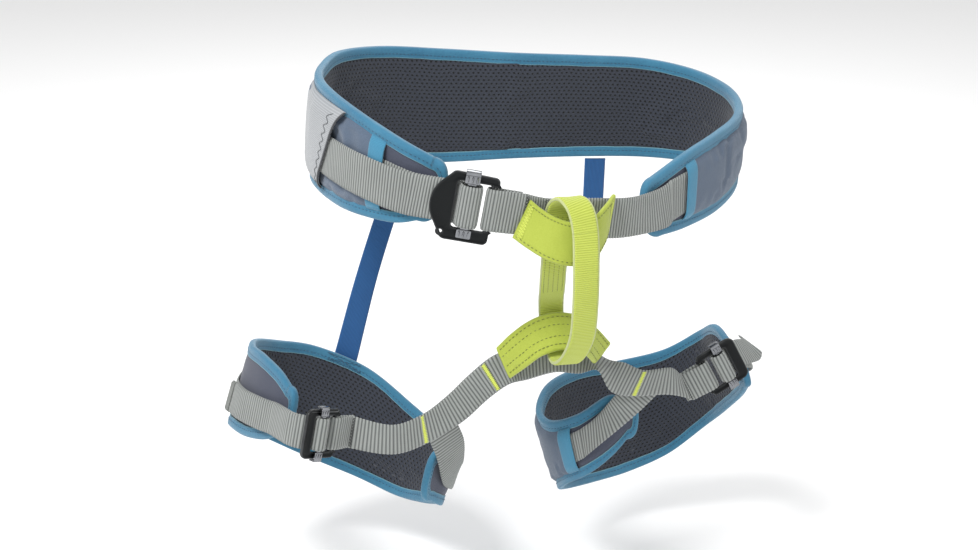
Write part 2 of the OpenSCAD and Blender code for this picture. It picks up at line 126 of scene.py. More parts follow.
SLING = np.array([
    [38, -129, 4, 33, -129, -22], [30, -139, 0, 28, -140, -30], [17, -148, -7, 16, -151, -39],
    [2, -149, -9, 0, -152, -41], [-9, -145, -6, -15, -149, -37], [-18, -138.5, -1, -28, -141, -30],
    [-25, -134, 5, -38, -133, -23]], float)
ARCH = np.array([
    [52, -74, -130, 38, -78, -145], [38, -80, -114, 30, -92, -134], [26, -80, -105, 22, -98, -127],
    [8, -80, -101, 6, -101, -124], [-10, -80, -105, -8, -100, -128], [-25, -80, -114, -18, -94, -138],
    [-37, -76, -127, -28, -84, -150]], float)
BELAY = np.array([
    [9, -160, -14], [10, -160, -42], [12, -151, -74], [13.5, -137, -102], [11, -119, -124],
    [8, -102, -132], [7, -87, -122], [6, -74, -107], [5, -76, -92], [1, -95, -77],
    [-4, -118, -57], [-6, -130, -38], [-6, -132.5, -18], [-4, -136.5, 0], [1, -146, 7], [6, -156, 2]], float)
# Bridge webbing: its first two stations are up to 5 mm from the CAD part's, to enter the adjuster smoothly
BRIDGE = np.array([
    [102, -75, -155, 102, -71, -179], [80, -76, -155, 72, -71, -178], [66, -69, -150, 53, -77, -170],
    [54, -61, -149, 41, -82, -150], [32, -64, -133, 27, -78, -153], [10, -66, -129, 9, -74, -152],
    [-14, -67, -132, -13, -75, -156], [-38, -71, -135, -28, -77, -158], [-58, -74, -148, -44, -76, -169],
    [-76, -75, -164, -64, -76, -186], [-96, -79, -176, -92, -77, -201],
    [-120, -83, -181, -120, -81, -206]], float)

# Adjusters: middle of the fixed bar, turn in degrees, and which way up the webbing runs
WAIST_ADJUSTER = ((-54, -126, -2), (94, 10, -12), 1)
LEFT_ADJUSTER = ((-167, -86, -182), (90, 15, 36), 1)
RIGHT_ADJUSTER = ((136, -64, -167), (90, 152, 4), -1)

# ---------------------------------------------------------------- curves and frames


def unit(v):
    return v / np.maximum(np.linalg.norm(v, axis=-1, keepdims=True), 1e-9)


def along(P, u):
    """Catmull-Rom through the rows of P at the stations u."""
    P, u = np.asarray(P, float), np.atleast_1d(np.asarray(u, float))
    last = len(P) - 1
    i = np.clip(np.floor(u).astype(int), 0, last - 1)
    t = (u - i)[:, None]
    a, b, c, d = P[np.maximum(i - 1, 0)], P[i], P[i + 1], P[np.minimum(i + 2, last)]
    return 0.5 * (2 * b + (c - a) * t + (2 * a - 5 * b + 4 * c - d) * t * t
                  + (3 * b - a - 3 * c + d) * t ** 3)


def spline(P, n):
    P = np.asarray(P, float)
    return along(P, np.linspace(0, len(P) - 1, (len(P) - 1) * n + 1))


class Frames:
    """Frames of a pad at the stations u: centre, up, outward, forward and half height."""

    def __init__(self, P, u):
        u = np.atleast_1d(np.asarray(u, float))
        s = along(P, u)
        a, b = along(P, np.maximum(u - 0.05, 0)), along(P, np.minimum(u + 0.05, len(P) - 1))
        self.c = (s[:, :3] + s[:, 3:]) / 2
        self.up = unit(s[:, :3] - s[:, 3:])
        self.out = unit(np.cross(self.up, (b[:, :3] + b[:, 3:] - a[:, :3] - a[:, 3:]) / 2))
        self.fore = np.cross(self.out, self.up)
        self.half = np.linalg.norm(s[:, :3] - s[:, 3:], axis=1) / 2


def squared(a):
    return np.sign(a) * np.abs(a) ** 0.75


TIP_LENGTH = 0.6


class Columns:
    """Columns of a pad from one rounded tip to the other: centre, up, outward, half height, swell."""

    def __init__(self, P, inset, per_station, tip_angles=(), start=None, stop=None):
        last = len(P) - 1
        whole = start is None
        start, stop = (0, last) if whole else (start, stop)
        u = np.linspace(start, stop, int(round((stop - start) * per_station)) + 1)
        f = Frames(P, u)
        c, up, out, half, swell, uu = [f.c], [f.up], [f.out], [f.half - inset], [np.ones(len(u))], [u]
        if whole and len(tip_angles):
            g = np.radians(np.array(tip_angles, float))
            for end, sign in ((0, -1), (last, 1)):
                e = Frames(P, [end])
                gg = g[::-1] if sign < 0 else g
                h = e.half[0] - inset
                tc = e.c + e.fore * (sign * h * TIP_LENGTH * squared(np.sin(gg)))[:, None]
                n = len(gg)
                piece = (tc, np.repeat(e.up, n, 0), np.repeat(e.out, n, 0), h * squared(np.cos(gg)),
                         squared(np.cos(gg)), end + sign * 0.3 * squared(np.sin(gg)))
                for store, value in zip((c, up, out, half, swell, uu), piece):
                    store.insert(0, value) if sign < 0 else store.append(value)
        self.c, self.up, self.out = np.concatenate(c), np.concatenate(up), np.concatenate(out)
        self.half, self.swell, self.u = np.concatenate(half), np.concatenate(swell), np.concatenate(uu)
        step = np.linalg.norm(np.diff(self.c, axis=0), axis=1)
        self.s = np.concatenate([[0], np.cumsum(step)])

    def at(self, across, offset):
        """Points at heights across * half (a row for each column) and offsets outward."""
        return (self.c[:, None] + self.up[:, None] * (self.half[:, None] * across)[..., None]
                + self.out[:, None] * np.broadcast_to(offset, (len(self.c), np.shape(across)[-1]))[..., None])


def bulge(v):
    return 1 - np.clip(np.abs(2 * v - 1), 0, 1) ** 6


def rotate(v, turn):
    x, y, z = (math.radians(a) for a in turn)
    rx = np.array([[1, 0, 0], [0, math.cos(x), -math.sin(x)], [0, math.sin(x), math.cos(x)]])
    ry = np.array([[math.cos(y), 0, math.sin(y)], [0, 1, 0], [-math.sin(y), 0, math.cos(y)]])
    rz = np.array([[math.cos(z), -math.sin(z), 0], [math.sin(z), math.cos(z), 0], [0, 0, 1]])
    return np.asarray(v, float) @ (rz @ ry @ rx).T


def placed(B, v):
    """Points given in an adjuster's own frame, in the part's frame."""
    return np.array(B[0], float) + rotate(v, B[1])


def web_at(B, x, z, half):
    return np.concatenate([placed(B, (x, half * B[2], z)), placed(B, (x, -half * B[2], z))])


def lying(P, stations, half):
    """Band stations on a pad: [u, outward offset, share of the height]."""
    rows = []
    for u, offset, share in stations:
        f = Frames(P, [u])
        c = f.c[0] + f.out[0] * offset + f.up[0] * f.half[0] * share
        rows.append(np.concatenate([c + f.up[0] * half, c - f.up[0] * half]))
    return np.array(rows)


def over(S, first, last, offset):
    """Stations of the same band a little further out."""
    S = np.asarray(S, float)
    rows = []
    for i in range(first, last + 1):
        w = unit(S[i, :3] - S[i, 3:])
        a, b = S[max(i - 1, 0)], S[min(i + 1, len(S) - 1)]
        n = unit(np.cross(w, (b[:3] + b[3:] - a[:3] - a[3:]) / 2)) * offset
        rows.append(np.concatenate([S[i, :3] + n, S[i, 3:] + n]))
    return np.array(rows)


# ---------------------------------------------------------------- meshes


def mesh_object(name, points, faces, uv=None, material=None, smooth=True):
    """Mesh object from points in millimetres. uv has one pair a point, in millimetres."""
    mesh = bpy.data.meshes.new(name)
    points = np.asarray(points, float).reshape(-1, 3)
    mesh.from_pydata((points * MM).tolist(), [], [tuple(f) for f in faces])
    if uv is not None:
        layer = mesh.uv_layers.new(name="UVMap")
        index = np.zeros(len(mesh.loops), int)
        mesh.loops.foreach_get("vertex_index", index)
        layer.data.foreach_set("uv", np.asarray(uv, float).reshape(-1, 2)[index].ravel())
    mesh.polygons.foreach_set("use_smooth", [smooth] * len(mesh.polygons))
    mesh.update()
    obj = bpy.data.objects.new(name, mesh)
    scene.collection.objects.link(obj)
    if material:
        mesh.materials.append(material)
    return obj


def grid_faces(n, m, wrap_n=False, wrap_m=False, base=0):
    i = np.arange(n if wrap_n else n - 1)[:, None]
    j = np.arange(m if wrap_m else m - 1)[None, :]
    i2, j2 = (i + 1) % n, (j + 1) % m
    quads = np.stack([i * m + j, i * m + j2, i2 * m + j2, i2 * m + j], -1).reshape(-1, 4)
    return (quads + base).tolist()


class Soup:
    """Many small closed shapes gathered into one mesh."""

    def __init__(self):
        self.points, self.faces, self.uv, self.count = [], [], [], 0

    def add(self, points, faces, uv=None):
        points = np.asarray(points, float).reshape(-1, 3)
        self.points.append(points)
        self.faces.extend([tuple(k + self.count for k in f) for f in faces])
        self.uv.append(np.zeros((len(points), 2)) if uv is None else np.asarray(uv, float).reshape(-1, 2))
        self.count += len(points)

    def tube(self, path, radius, sides=6, flat=None):
        """Closed tube along a path. flat gives the direction in which it is flattened to seven tenths."""
        path = np.asarray(path, float)
        t = unit(np.gradient(path, axis=0))
        if flat is None:
            ref = np.array([0.31, 0.62, 0.72])
            n = unit(np.cross(t, ref))
        else:
            n = unit(np.asarray(flat, float) - t * np.sum(t * flat, -1, keepdims=True))
        b = np.cross(t, n)
        g = np.linspace(0, 2 * math.pi, sides, endpoint=False)
        squash = 1.0 if flat is None else 0.7
        r = np.full(len(path), radius)
        r[0] = r[-1] = radius * 0.55
        ring = (path[:, None] + n[:, None] * (squash * np.cos(g))[None, :, None] * r[:, None, None]
                + b[:, None] * np.sin(g)[None, :, None] * r[:, None, None])
        k = len(path)
        faces = grid_faces(k, sides, wrap_m=True)
        faces.append(list(range(sides))[::-1])
        faces.append([(k - 1) * sides + q for q in range(sides)])
        self.add(ring, faces)

    def stitches(self, points, directions, normals, length, radius):
        """Short threads that rise from the cloth in the middle and sink at both ends."""
        lengthwise = np.array([-0.5, -0.25, 0, 0.25, 0.5]) * length
        lift = np.array([-0.9, 0.35, 0.6, 0.35, -0.9]) * radius
        for p, d, n in zip(points, directions, normals):
            self.tube(p + np.outer(lengthwise, d) + np.outer(lift, n), radius, 5, flat=n)

    def finish(self, name, material, smooth=True):
        return mesh_object(name, np.concatenate(self.points), self.faces, np.concatenate(self.uv), material,
                           smooth)


def noise(a, b, seed, scale):
    """Smooth wandering of two coordinates, the same each run."""
    rng = np.random.RandomState(seed)
    total = 0
    for k in range(6):
        fx, fy = rng.uniform(-1, 1, 2) / scale * (1 + 0.5 * k)
        total = total + np.sin(2 * math.pi * (np.asarray(a) * fx + np.asarray(b) * fy)
                               + rng.uniform(0, 6.3)) / (1 + 0.4 * k)
    return total / 3.2


# ---------------------------------------------------------------- materials


def rgb(red, green, blue):
    """Display colour, 0 to 255, as a linear one."""
    def one(c):
        c /= 255
        return c / 12.92 if c <= 0.04045 else ((c + 0.055) / 1.055) ** 2.4
    return (one(red), one(green), one(blue), 1)


class Shader:
    """A material built from nodes, with the piece's UV map in millimetres as coordinates."""

    def __init__(self, name, roughness=0.8, sheen=0.0, metallic=0.0, specular=0.4):
        self.material = bpy.data.materials.new(name)
        self.material.use_nodes = True
        self.tree = self.material.node_tree
        self.bsdf = self.tree.nodes["Principled BSDF"]
        self.bsdf.inputs["Roughness"].default_value = roughness
        self.bsdf.inputs["Metallic"].default_value = metallic
        self.bsdf.inputs["Specular IOR Level"].default_value = specular
        if sheen:
            self.bsdf.inputs["Sheen Weight"].default_value = sheen
            self.bsdf.inputs["Sheen Roughness"].default_value = 0.5
        uv = self.tree.nodes.new("ShaderNodeUVMap")
        split = self.tree.nodes.new("ShaderNodeSeparateXYZ")
        self.tree.links.new(uv.outputs[0], split.inputs[0])
        self.x, self.y = split.outputs[0], split.outputs[1]

    def _plug(self, socket, value):
        if isinstance(value, (int, float, tuple)):
            socket.default_value = value
        else:
            self.tree.links.new(value, socket)

    def math(self, operation, a, b=0.0, c=0.0):
        node = self.tree.nodes.new("ShaderNodeMath")
        node.operation = operation
        for socket, value in zip(node.inputs, (a, b, c)):
            self._plug(socket, value)
        return node.outputs[0]

    def mix(self, factor, a, b):
        node = self.tree.nodes.new("ShaderNodeMix")
        node.data_type = "RGBA"
        self._plug(node.inputs[0], factor)
        self._plug(node.inputs[6], a)
        self._plug(node.inputs[7], b)
        return node.outputs[2]

    def noise(self, scale, detail=3.0):
        node = self.tree.nodes.new("ShaderNodeTexNoise")
        node.inputs["Scale"].default_value = scale
        node.inputs["Detail"].default_value = detail
        coord = self.tree.nodes.new("ShaderNodeTexCoord")
        self.tree.links.new(coord.outputs["Object"], node.inputs["Vector"])
        return node.outputs["Fac"]

    def ridge(self, coordinate, pitch, shift=0.0):
        """1 on each ridge of the pitch, 0 between them."""
        turn = self.math("MULTIPLY_ADD", coordinate, 2 * math.pi / pitch, shift)
        return self.math("MULTIPLY_ADD", self.math("COSINE", turn), 0.5, 0.5)

    def bump(self, height, distance, strength=1.0, before=None):
        node = self.tree.nodes.new("ShaderNodeBump")
        node.inputs["Strength"].default_value = strength
        node.inputs["Distance"].default_value = distance
        self._plug(node.inputs["Height"], height)
        if before is not None:
            self.tree.links.new(before, node.inputs["Normal"])
        return node.outputs[0]

    def finish(self, colour, normal=None, roughness=None):
        self._plug(self.bsdf.inputs["Base Color"], colour)
        if normal is not None:
            self.tree.links.new(normal, self.bsdf.inputs["Normal"])
        if roughness is not None:
            self._plug(self.bsdf.inputs["Roughness"], roughness)
        return self.material


def woven(name, light, dark, pitch_x, pitch_y, depth, sheen=0.2, roughness=0.85, spread=0.25):
    """Plain weave: threads over and under at the two pitches, with slow changes of colour."""
    m = Shader(name, roughness, sheen)
    warp, weft = m.ridge(m.x, pitch_x), m.ridge(m.y, pitch_y)
    weave = m.math("MULTIPLY", warp, weft)
    worn = m.math("MULTIPLY_ADD", m.noise(22, 4), spread, -spread / 2)
    speck = m.math("MULTIPLY_ADD", m.noise(900, 2), 0.5, -0.25)
    factor = m.math("ADD", m.math("ADD", m.math("MULTIPLY", weave, 0.6), worn), m.math("ADD", speck, 0.25))
    return m.finish(m.mix(factor, dark, light), m.bump(weave, depth))


def ribbed_webbing(name, crest, valley, pitch):
    """Webbing: each rib a row of fine yarns, with a painted highlight on the crest and painted shade in the
    valley.
    """
    m = Shader(name, 0.8, 0.25)
    rib = m.math("POWER", m.ridge(m.x, pitch), 0.5)
    yarn = m.ridge(m.math("ADD", m.y, m.math("MULTIPLY", m.x, 0.35)), 0.62)
    worn = m.math("MULTIPLY_ADD", m.noise(30, 4), 0.24, -0.12)
    factor = m.math("ADD", m.math("MULTIPLY_ADD", rib, 0.95, 0.0), m.math("MULTIPLY_ADD", yarn, 0.16, -0.1))
    # Painted light and shade of the ribs: the crest colour on each rib's top, the valley colour in its
    # grooves.
    colour = m.mix(m.math("ADD", factor, worn), valley, crest)
    return m.finish(colour, m.bump(m.math("MULTIPLY_ADD", yarn, 0.5, rib), 0.00025))


def mesh_liner():
    """Knitted spacer mesh: dark face with staggered small holes, painted near black as the shade inside them.
    """
    m = Shader("liner_mesh", 0.9, 0.15)
    pitch_x, pitch_y = 4.2, 3.0
    row = m.math("FLOOR", m.math("DIVIDE", m.y, pitch_y))
    odd = m.math("MODULO", m.math("ABSOLUTE", row), 2.0)
    px = m.math("SUBTRACT", m.math("FRACT", m.math("MULTIPLY_ADD", odd, 0.5, m.math("DIVIDE", m.x, pitch_x))),
                0.5)
    py = m.math("SUBTRACT", m.math("FRACT", m.math("DIVIDE", m.y, pitch_y)), 0.5)
    dx, dy = m.math("MULTIPLY", px, pitch_x), m.math("MULTIPLY", py, pitch_y)
    radius = m.math("SQRT", m.math("ADD", m.math("MULTIPLY", dx, dx),
                                   m.math("MULTIPLY", m.math("MULTIPLY", dy, dy), 1.7)))
    hole = m.math("SUBTRACT", 1.0, m.math("SMOOTH_MIN",
                                          m.math("MAXIMUM", m.math("SUBTRACT", radius, 0.72), 0.0), 1.0, 0.1))
    hole = m.math("POWER", m.math("MAXIMUM", hole, 0.0), 3.0)
    knit = m.math("MULTIPLY", m.ridge(m.x, 0.7), m.ridge(m.y, 0.9))
    tone = m.math("MULTIPLY_ADD", m.noise(14, 4), 0.5, 0.1)
    face = m.mix(tone, rgb(42, 46, 55), rgb(64, 69, 80))
    face = m.mix(m.math("MULTIPLY", knit, 0.25), face, rgb(28, 30, 39))
    # Painted shade: each hole is coloured near black for the shade inside it.
    colour = m.mix(m.math("MULTIPLY", hole, 0.96), face, rgb(5, 5, 8))
    low = m.bump(m.math("MULTIPLY", hole, -1.0), 0.0007)
    return m.finish(colour, m.bump(knit, 0.00012, 0.6, low))


def ribbon():
    """Teal grosgrain binding: fine cross ribs, pale selvage along its inner edge (y near 0)."""
    m = Shader("binding_tape", 0.72, 0.3)
    ribs = m.ridge(m.x, 0.75)
    tone = m.math("MULTIPLY_ADD", m.noise(26, 4), 0.7, -0.1)
    streak = m.math("MULTIPLY_ADD", m.noise(500, 2), 0.4, -0.2)
    colour = m.mix(m.math("ADD", tone, streak), rgb(40, 104, 136), rgb(78, 150, 180))
    colour = m.mix(m.math("MULTIPLY", ribs, 0.16), colour, rgb(28, 78, 106))
    selvage = m.math("LESS_THAN", m.y, 0.55)
    colour = m.mix(m.math("MULTIPLY", selvage, 0.55), colour, rgb(132, 172, 176))
    return m.finish(colour, m.bump(ribs, 0.00012))


def elastic(name, light, dark, pitch, sheen=0.3):
    """Elastic band: lengthwise cords with fine cross picks."""
    m = Shader(name, 0.7, sheen)
    cord = m.ridge(m.y, pitch)
    pick = m.ridge(m.x, 0.8)
    tone = m.math("MULTIPLY_ADD", m.noise(30, 3), 0.35, -0.15)
    factor = m.math("ADD", m.math("MULTIPLY_ADD", cord, 0.55, 0.2), m.math("MULTIPLY_ADD", pick, 0.18, tone))
    height = m.math("MULTIPLY_ADD", pick, 0.3, cord)
    return m.finish(m.mix(factor, dark, light), m.bump(height, 0.0002))


def thread_material(name, colour, second):
    m = Shader(name, 0.6, 0.3)
    return m.finish(m.mix(m.noise(600, 2), second, colour))


def anodised():
    """Black anodised aluminium with a soft sheen, and a painted highlight in pale grey along its sharp edges,
    broken up by noise.
    """
    m = Shader("black_anodised", 0.3, metallic=0.75)
    geometry = m.tree.nodes.new("ShaderNodeNewGeometry")
    edge = m.math("MULTIPLY", m.math("MAXIMUM", m.math("SUBTRACT", geometry.outputs["Pointiness"], 0.52),
                                     0.0), 8.0)
    scratch_and_highlight_noise = m.noise(160, 6)
    # Painted highlight: the sharp bevelled edges are coloured pale grey, broken up by the noise, in place of
    # real light on them.
    colour = m.mix(m.math("MULTIPLY", edge, scratch_and_highlight_noise), rgb(26, 28, 29), rgb(150, 152, 154))
    rough = m.math("MULTIPLY_ADD", m.noise(90, 4), 0.25, 0.2)
    return m.finish(colour, m.bump(scratch_and_highlight_noise, 0.00003), rough)


def chrome():
    m = Shader("bright_chrome", 0.12, metallic=1.0)
    haze = m.noise(140, 5)
    colour = m.mix(haze, rgb(104, 106, 110), rgb(150, 152, 156))
    return m.finish(colour, m.bump(m.noise(60, 2), 0.00004), m.math("MULTIPLY_ADD", haze, 0.16, 0.1))


RIB = 2.8
BELAY_ROW = 1.7
LINER = mesh_liner()
BINDING = ribbon()
COVER = woven("cover_cloth", rgb(100, 116, 136), rgb(70, 83, 101), 0.62, 0.62, 0.00012, 0.25)
BACKING = woven("backing_cloth", rgb(84, 89, 106), rgb(54, 58, 72), 0.62, 0.62, 0.00012, 0.2)
FOAM = woven("foam_core", rgb(86, 88, 94), rgb(58, 60, 66), 1.9, 1.7, 0.0002, 0.0, 0.95)
# The crest and valley colours given to ribbed_webbing, here and below, hold the painted highlight and painted
# shade of the ribs.
WEBBING = ribbed_webbing("grey_webbing", rgb(158, 162, 159), rgb(74, 78, 77), RIB)
END_WEBBING = ribbed_webbing("folded_webbing_end", rgb(128, 132, 128), rgb(80, 84, 80), 1.1)
TAPE = woven("slot_tape", rgb(78, 150, 180), rgb(46, 110, 142), 0.7, 0.9, 0.00015, 0.3)
SLEEVE = elastic("grey_elastic", rgb(166, 169, 172), rgb(128, 131, 135), 1.5)
SLEEVE_EDGE = elastic("black_elastic", rgb(58, 60, 64), rgb(24, 25, 28), 0.9)
RISER = elastic("blue_elastic", rgb(24, 92, 152), rgb(10, 60, 110), 1.15)
LIME = woven("lime_tape", rgb(186, 198, 84), rgb(156, 170, 50), 0.55, 0.55, 0.0001, 0.3, 0.7, 0.35)
LIME_LOOP = ribbed_webbing("lime_webbing", rgb(196, 208, 92), rgb(166, 180, 58), BELAY_ROW)
SELVAGE = thread_material("pale_selvage", rgb(186, 194, 134), rgb(168, 176, 116))
OLIVE_THREAD = thread_material("olive_thread", rgb(118, 128, 44), rgb(94, 104, 34))
LIME_THREAD = thread_material("lime_thread", rgb(222, 232, 110), rgb(190, 202, 74))
DARK_THREAD = thread_material("dark_thread", rgb(58, 62, 60), rgb(38, 41, 40))
TEAL_THREAD = thread_material("teal_thread", rgb(40, 92, 122), rgb(28, 70, 96))
GREY_THREAD = thread_material("grey_thread", rgb(104, 107, 110), rgb(80, 83, 86))
BLACK = anodised()
CHROME = chrome()

# ---------------------------------------------------------------- cloth


def refined(grid, k):
    """Grid of points with k - 1 new rows and columns between each two, on smooth curves."""
    for _ in range(2):
        n, m, _ = grid.shape
        flat = grid.reshape(n, m * 3)
        grid = along(flat, np.linspace(0, n - 1, (n - 1) * k + 1)).reshape(-1, m, 3).transpose(1, 0, 2)
    return grid


def settled(panels, frames=20):
    """Cloth simulation of several panels at once, each pinned along its border.

    A panel is a grid of points, the limits of its movement outward, its outward directions
    and whether its cloth puffs to that side. Returns the grids after the simulation."""
    points, faces, pinned, base = [], [], [], 0
    for p in panels:
        n, m, _ = p["grid"].shape
        quads = grid_faces(n, m, base=base)
        faces += [q[::-1] for q in quads] if p["flip"] else quads
        index = np.arange(n * m).reshape(n, m) + base
        border = np.ones((n, m), bool)
        border[1:-1, 1:-1] = False
        pinned += index[border].tolist()
        points.append(p["grid"].reshape(-1, 3))
        base += n * m
    obj = mesh_object("cloth_in_simulation", np.concatenate(points), faces)
    obj.vertex_groups.new(name="pin").add(pinned, 1.0, "REPLACE")
    cloth = obj.modifiers.new("cloth", "CLOTH")
    s = cloth.settings
    s.quality, s.mass = 5, 0.15
    s.tension_stiffness = s.compression_stiffness = 20
    s.shear_stiffness, s.bending_stiffness = 8, 0.08
    s.use_pressure, s.uniform_pressure_force = True, 4
    s.shrink_min = s.shrink_max = -0.035
    s.vertex_group_mass = "pin"
    s.effector_weights.gravity = 0
    cloth.point_cache.frame_start, cloth.point_cache.frame_end = 1, frames
    for k in range(1, frames + 1):
        scene.frame_set(k)
    result = obj.evaluated_get(bpy.context.evaluated_depsgraph_get()).to_mesh()
    moved = np.zeros(len(result.vertices) * 3)
    result.vertices.foreach_get("co", moved)
    moved = moved.reshape(-1, 3) / MM
    bpy.data.objects.remove(obj, do_unlink=True)
    scene.frame_set(1)
    out, base = [], 0
    for p in panels:
        n, m, _ = p["grid"].shape
        shift = moved[base:base + n * m].reshape(n, m, 3) - p["grid"]
        base += n * m
        along_out = np.sum(shift * p["out"], -1)
        side = shift - p["out"] * along_out[..., None]
        side *= np.minimum(1, 1.2 / np.maximum(np.linalg.norm(side, axis=-1, keepdims=True), 1e-6))
        low, high = p["limits"]
        ends = np.minimum(np.arange(n), np.arange(n)[::-1])
        calm = np.clip((ends - 2) / 5, 0.12, 1)[:, None]
        out.append(p["grid"] + side + p["out"] * np.clip(along_out, low * calm, high * calm)[..., None])
    return out


def slab(name, grid, out, thickness, material, s, half):
    """Closed thin cloth: the grid is its face, and it is thickness deep against the directions out."""
    n, m, _ = grid.shape
    back = grid - out * thickness
    faces = grid_faces(n, m) + [q[::-1] for q in grid_faces(n, m, base=n * m)]
    ring = ([(0, j) for j in range(m - 1)] + [(i, m - 1) for i in range(n - 1)]
            + [(n - 1, j) for j in range(m - 1, 0, -1)] + [(i, 0) for i in range(n - 1, 0, -1)])
    for (a, b), (c, d) in zip(ring, ring[1:] + ring[:1]):
        p, q = a * m + b, c * m + d
        faces.append((q, p, p + n * m, q + n * m))
    v = np.linspace(-1, 1, m)[None, :] * half[:, None]
    uv = np.stack([np.broadcast_to(s[:, None], (n, m)), v], -1)
    return mesh_object(name, np.concatenate([grid.reshape(-1, 3), back.reshape(-1, 3)]), faces,
                       np.concatenate([uv.reshape(-1, 2)] * 2), material)


class Panel:
    """A cloth panel of a pad, before and after the simulation."""

    def __init__(self, P, inset, offset, rise, per_station, across, side, limits,
                 tips=True, start=None, stop=None):
        tip_angles = (14, 28, 42, 56, 70) if tips else ()
        self.columns = Columns(P, inset, per_station, tip_angles, start, stop)
        v = np.linspace(0, 1, across)
        b = rise * bulge(v)[None, :] * self.columns.swell[:, None]
        self.side = side
        grid = self.columns.at(np.broadcast_to(2 * v - 1, b.shape), offset + b)
        out = np.broadcast_to(self.columns.out[:, None] * side, grid.shape)
        self.data = {"grid": grid, "out": out, "limits": limits, "flip": side > 0}

    def build(self, name, thickness, material, k=2):
        grid = refined(self.grid, k)
        out = unit(refined(np.array(self.data["out"]), k))
        n = grid.shape[0]
        t = np.linspace(0, len(self.columns.s) - 1, n)
        s = np.interp(t, np.arange(len(self.columns.s)), self.columns.s)
        half = np.interp(t, np.arange(len(self.columns.s)), self.columns.half)
        if self.side < 0:
            half = -half
        obj = slab(name, grid, out, thickness, material, s, half)
        if self.side > 0:
            obj.data.flip_normals()
        return obj


# ---------------------------------------------------------------- folded binding


def rim_path(P, inset_edge, inset_fold, step=1.6):
    """Points round a pad: outer edge, fold edge and outward direction, at even steps."""
    last = len(P) - 1
    edge, fold, out = [], [], []
    runs = ((np.linspace(0, last, last * 24 + 1), 1), (np.linspace(last, 0, last * 24 + 1), -1))
    angles = np.radians(np.array([86, 80, 73, 65, 57, 49, 41, 33, 25, 17, 9, 0,
                                  -9, -17, -25, -33, -41, -49, -57, -65, -73, -80, -86], float))
    for (u, sign), end in zip(runs, (last, 0)):
        f = Frames(P, u)
        edge.append(f.c + f.up * (sign * (f.half - inset_edge))[:, None])
        fold.append(f.c + f.up * (sign * (f.half - inset_fold))[:, None])
        out.append(f.out)
        e = Frames(P, [end])
        rise, reach = squared(np.sin(angles))[:, None] * sign, squared(np.cos(angles))[:, None] * sign
        for store, h in ((edge, e.half[0] - inset_edge), (fold, e.half[0] - inset_fold)):
            store.append(e.c + e.up * h * rise + e.fore * h * TIP_LENGTH * reach)
        out.append(np.repeat(e.out, len(angles), 0))
    edge, fold, out = (np.concatenate(x) for x in (edge, fold, out))
    edge, fold, out = (np.concatenate([x, x[:1]]) for x in (edge, fold, out))
    s = np.concatenate([[0], np.cumsum(np.linalg.norm(np.diff(edge + fold, axis=0), axis=1) / 2)])
    count = int(s[-1] / step)
    even = np.linspace(0, s[-1], count, endpoint=False)
    pick = [np.stack([np.interp(even, s, x[:, k]) for k in range(3)], 1) for x in (edge, fold, out)]
    return pick[0], pick[1], unit(pick[2]), even


# Across the tape: share of the fold, share of half the thickness, and how far the tape has been walked
OUTER = np.array([[1.0, 0.86], [0.93, 0.9], [0.8, 0.88], [0.62, 0.97], [0.4, 1.0], [0.22, 0.98], [0.1, 0.86],
                  [0.03, 0.62], [0.0, 0.32]])
OUTER = np.concatenate([OUTER, OUTER[::-1] * [1, -1]])
TAPE_THICK = 0.8


def binding(name, P, edge_thick, seed):
    """Tape folded over the edge of a pad, with its row of stitches."""
    edge, fold, out, s = rim_path(P, 0, FOLD)
    n, half = len(s), edge_thick / 2
    inward = fold - edge
    width = np.linalg.norm(inward, axis=1)
    wave = noise(s, 0 * s, seed, 38)
    pucker = 0.1 * np.cos(2 * np.pi * s / STITCH)
    x = OUTER[:, 0][None, :] + (0.05 * wave)[:, None] * (OUTER[:, 0] > 0.5)
    near_seam = np.exp(-((OUTER[:, 0] - 0.78) / 0.12) ** 2)
    z = OUTER[:, 1][None, :] * half * (1 - 0.05 * (noise(s, 0 * s, seed + 1, 22)[:, None] + 1) / 2)
    z = z - np.sign(OUTER[:, 1]) * near_seam * (0.16 + pucker[:, None])
    outer = edge[:, None] + inward[:, None] * x[..., None] + out[:, None] * z[..., None]
    ix = np.maximum(x, 0.14)
    iz = np.sign(z) * np.maximum(np.abs(z) - TAPE_THICK, 0.15)
    inner = (edge[:, None] + inward[:, None] * ix[..., None] + out[:, None] * iz[..., None])[:, ::-1]
    ring = np.concatenate([outer, inner], 1)
    k = ring.shape[1]
    m = len(OUTER)
    across = (1 - OUTER[:, 0]) * FOLD
    v = np.concatenate([across, across[::-1]])
    uv = np.stack([np.broadcast_to(s[:, None], (n, k)), np.broadcast_to(v, (n, k))], -1)
    obj = mesh_object(name, ring, grid_faces(n, k, True, True), uv, BINDING)
    obj.data.flip_normals()
    seam = Soup()
    row = 3
    at = np.arange(0, s[-1] - STITCH, STITCH)
    for side in (row, m - 1 - row):
        path = outer[:, side]
        nearby = np.concatenate([path, path[:1]])
        ss = np.append(s, s[-1] + np.linalg.norm(path[0] - path[-1]))
        p = np.stack([np.interp(at, ss, nearby[:, q]) for q in range(3)], 1)
        d = unit(np.stack([np.interp(at + 0.8, ss, nearby[:, q]) for q in range(3)], 1) - p)
        o = unit(np.stack([np.interp(at, s, out[:, q]) for q in range(3)], 1))
        o = o * (1 if side == row else -1)
        seam.stitches(p, d, o, STITCH * 0.72, 0.3)
    stitches = seam.finish(name + "_stitches", TEAL_THREAD)
    return obj, stitches


STITCH = 3.3

# ---------------------------------------------------------------- straps


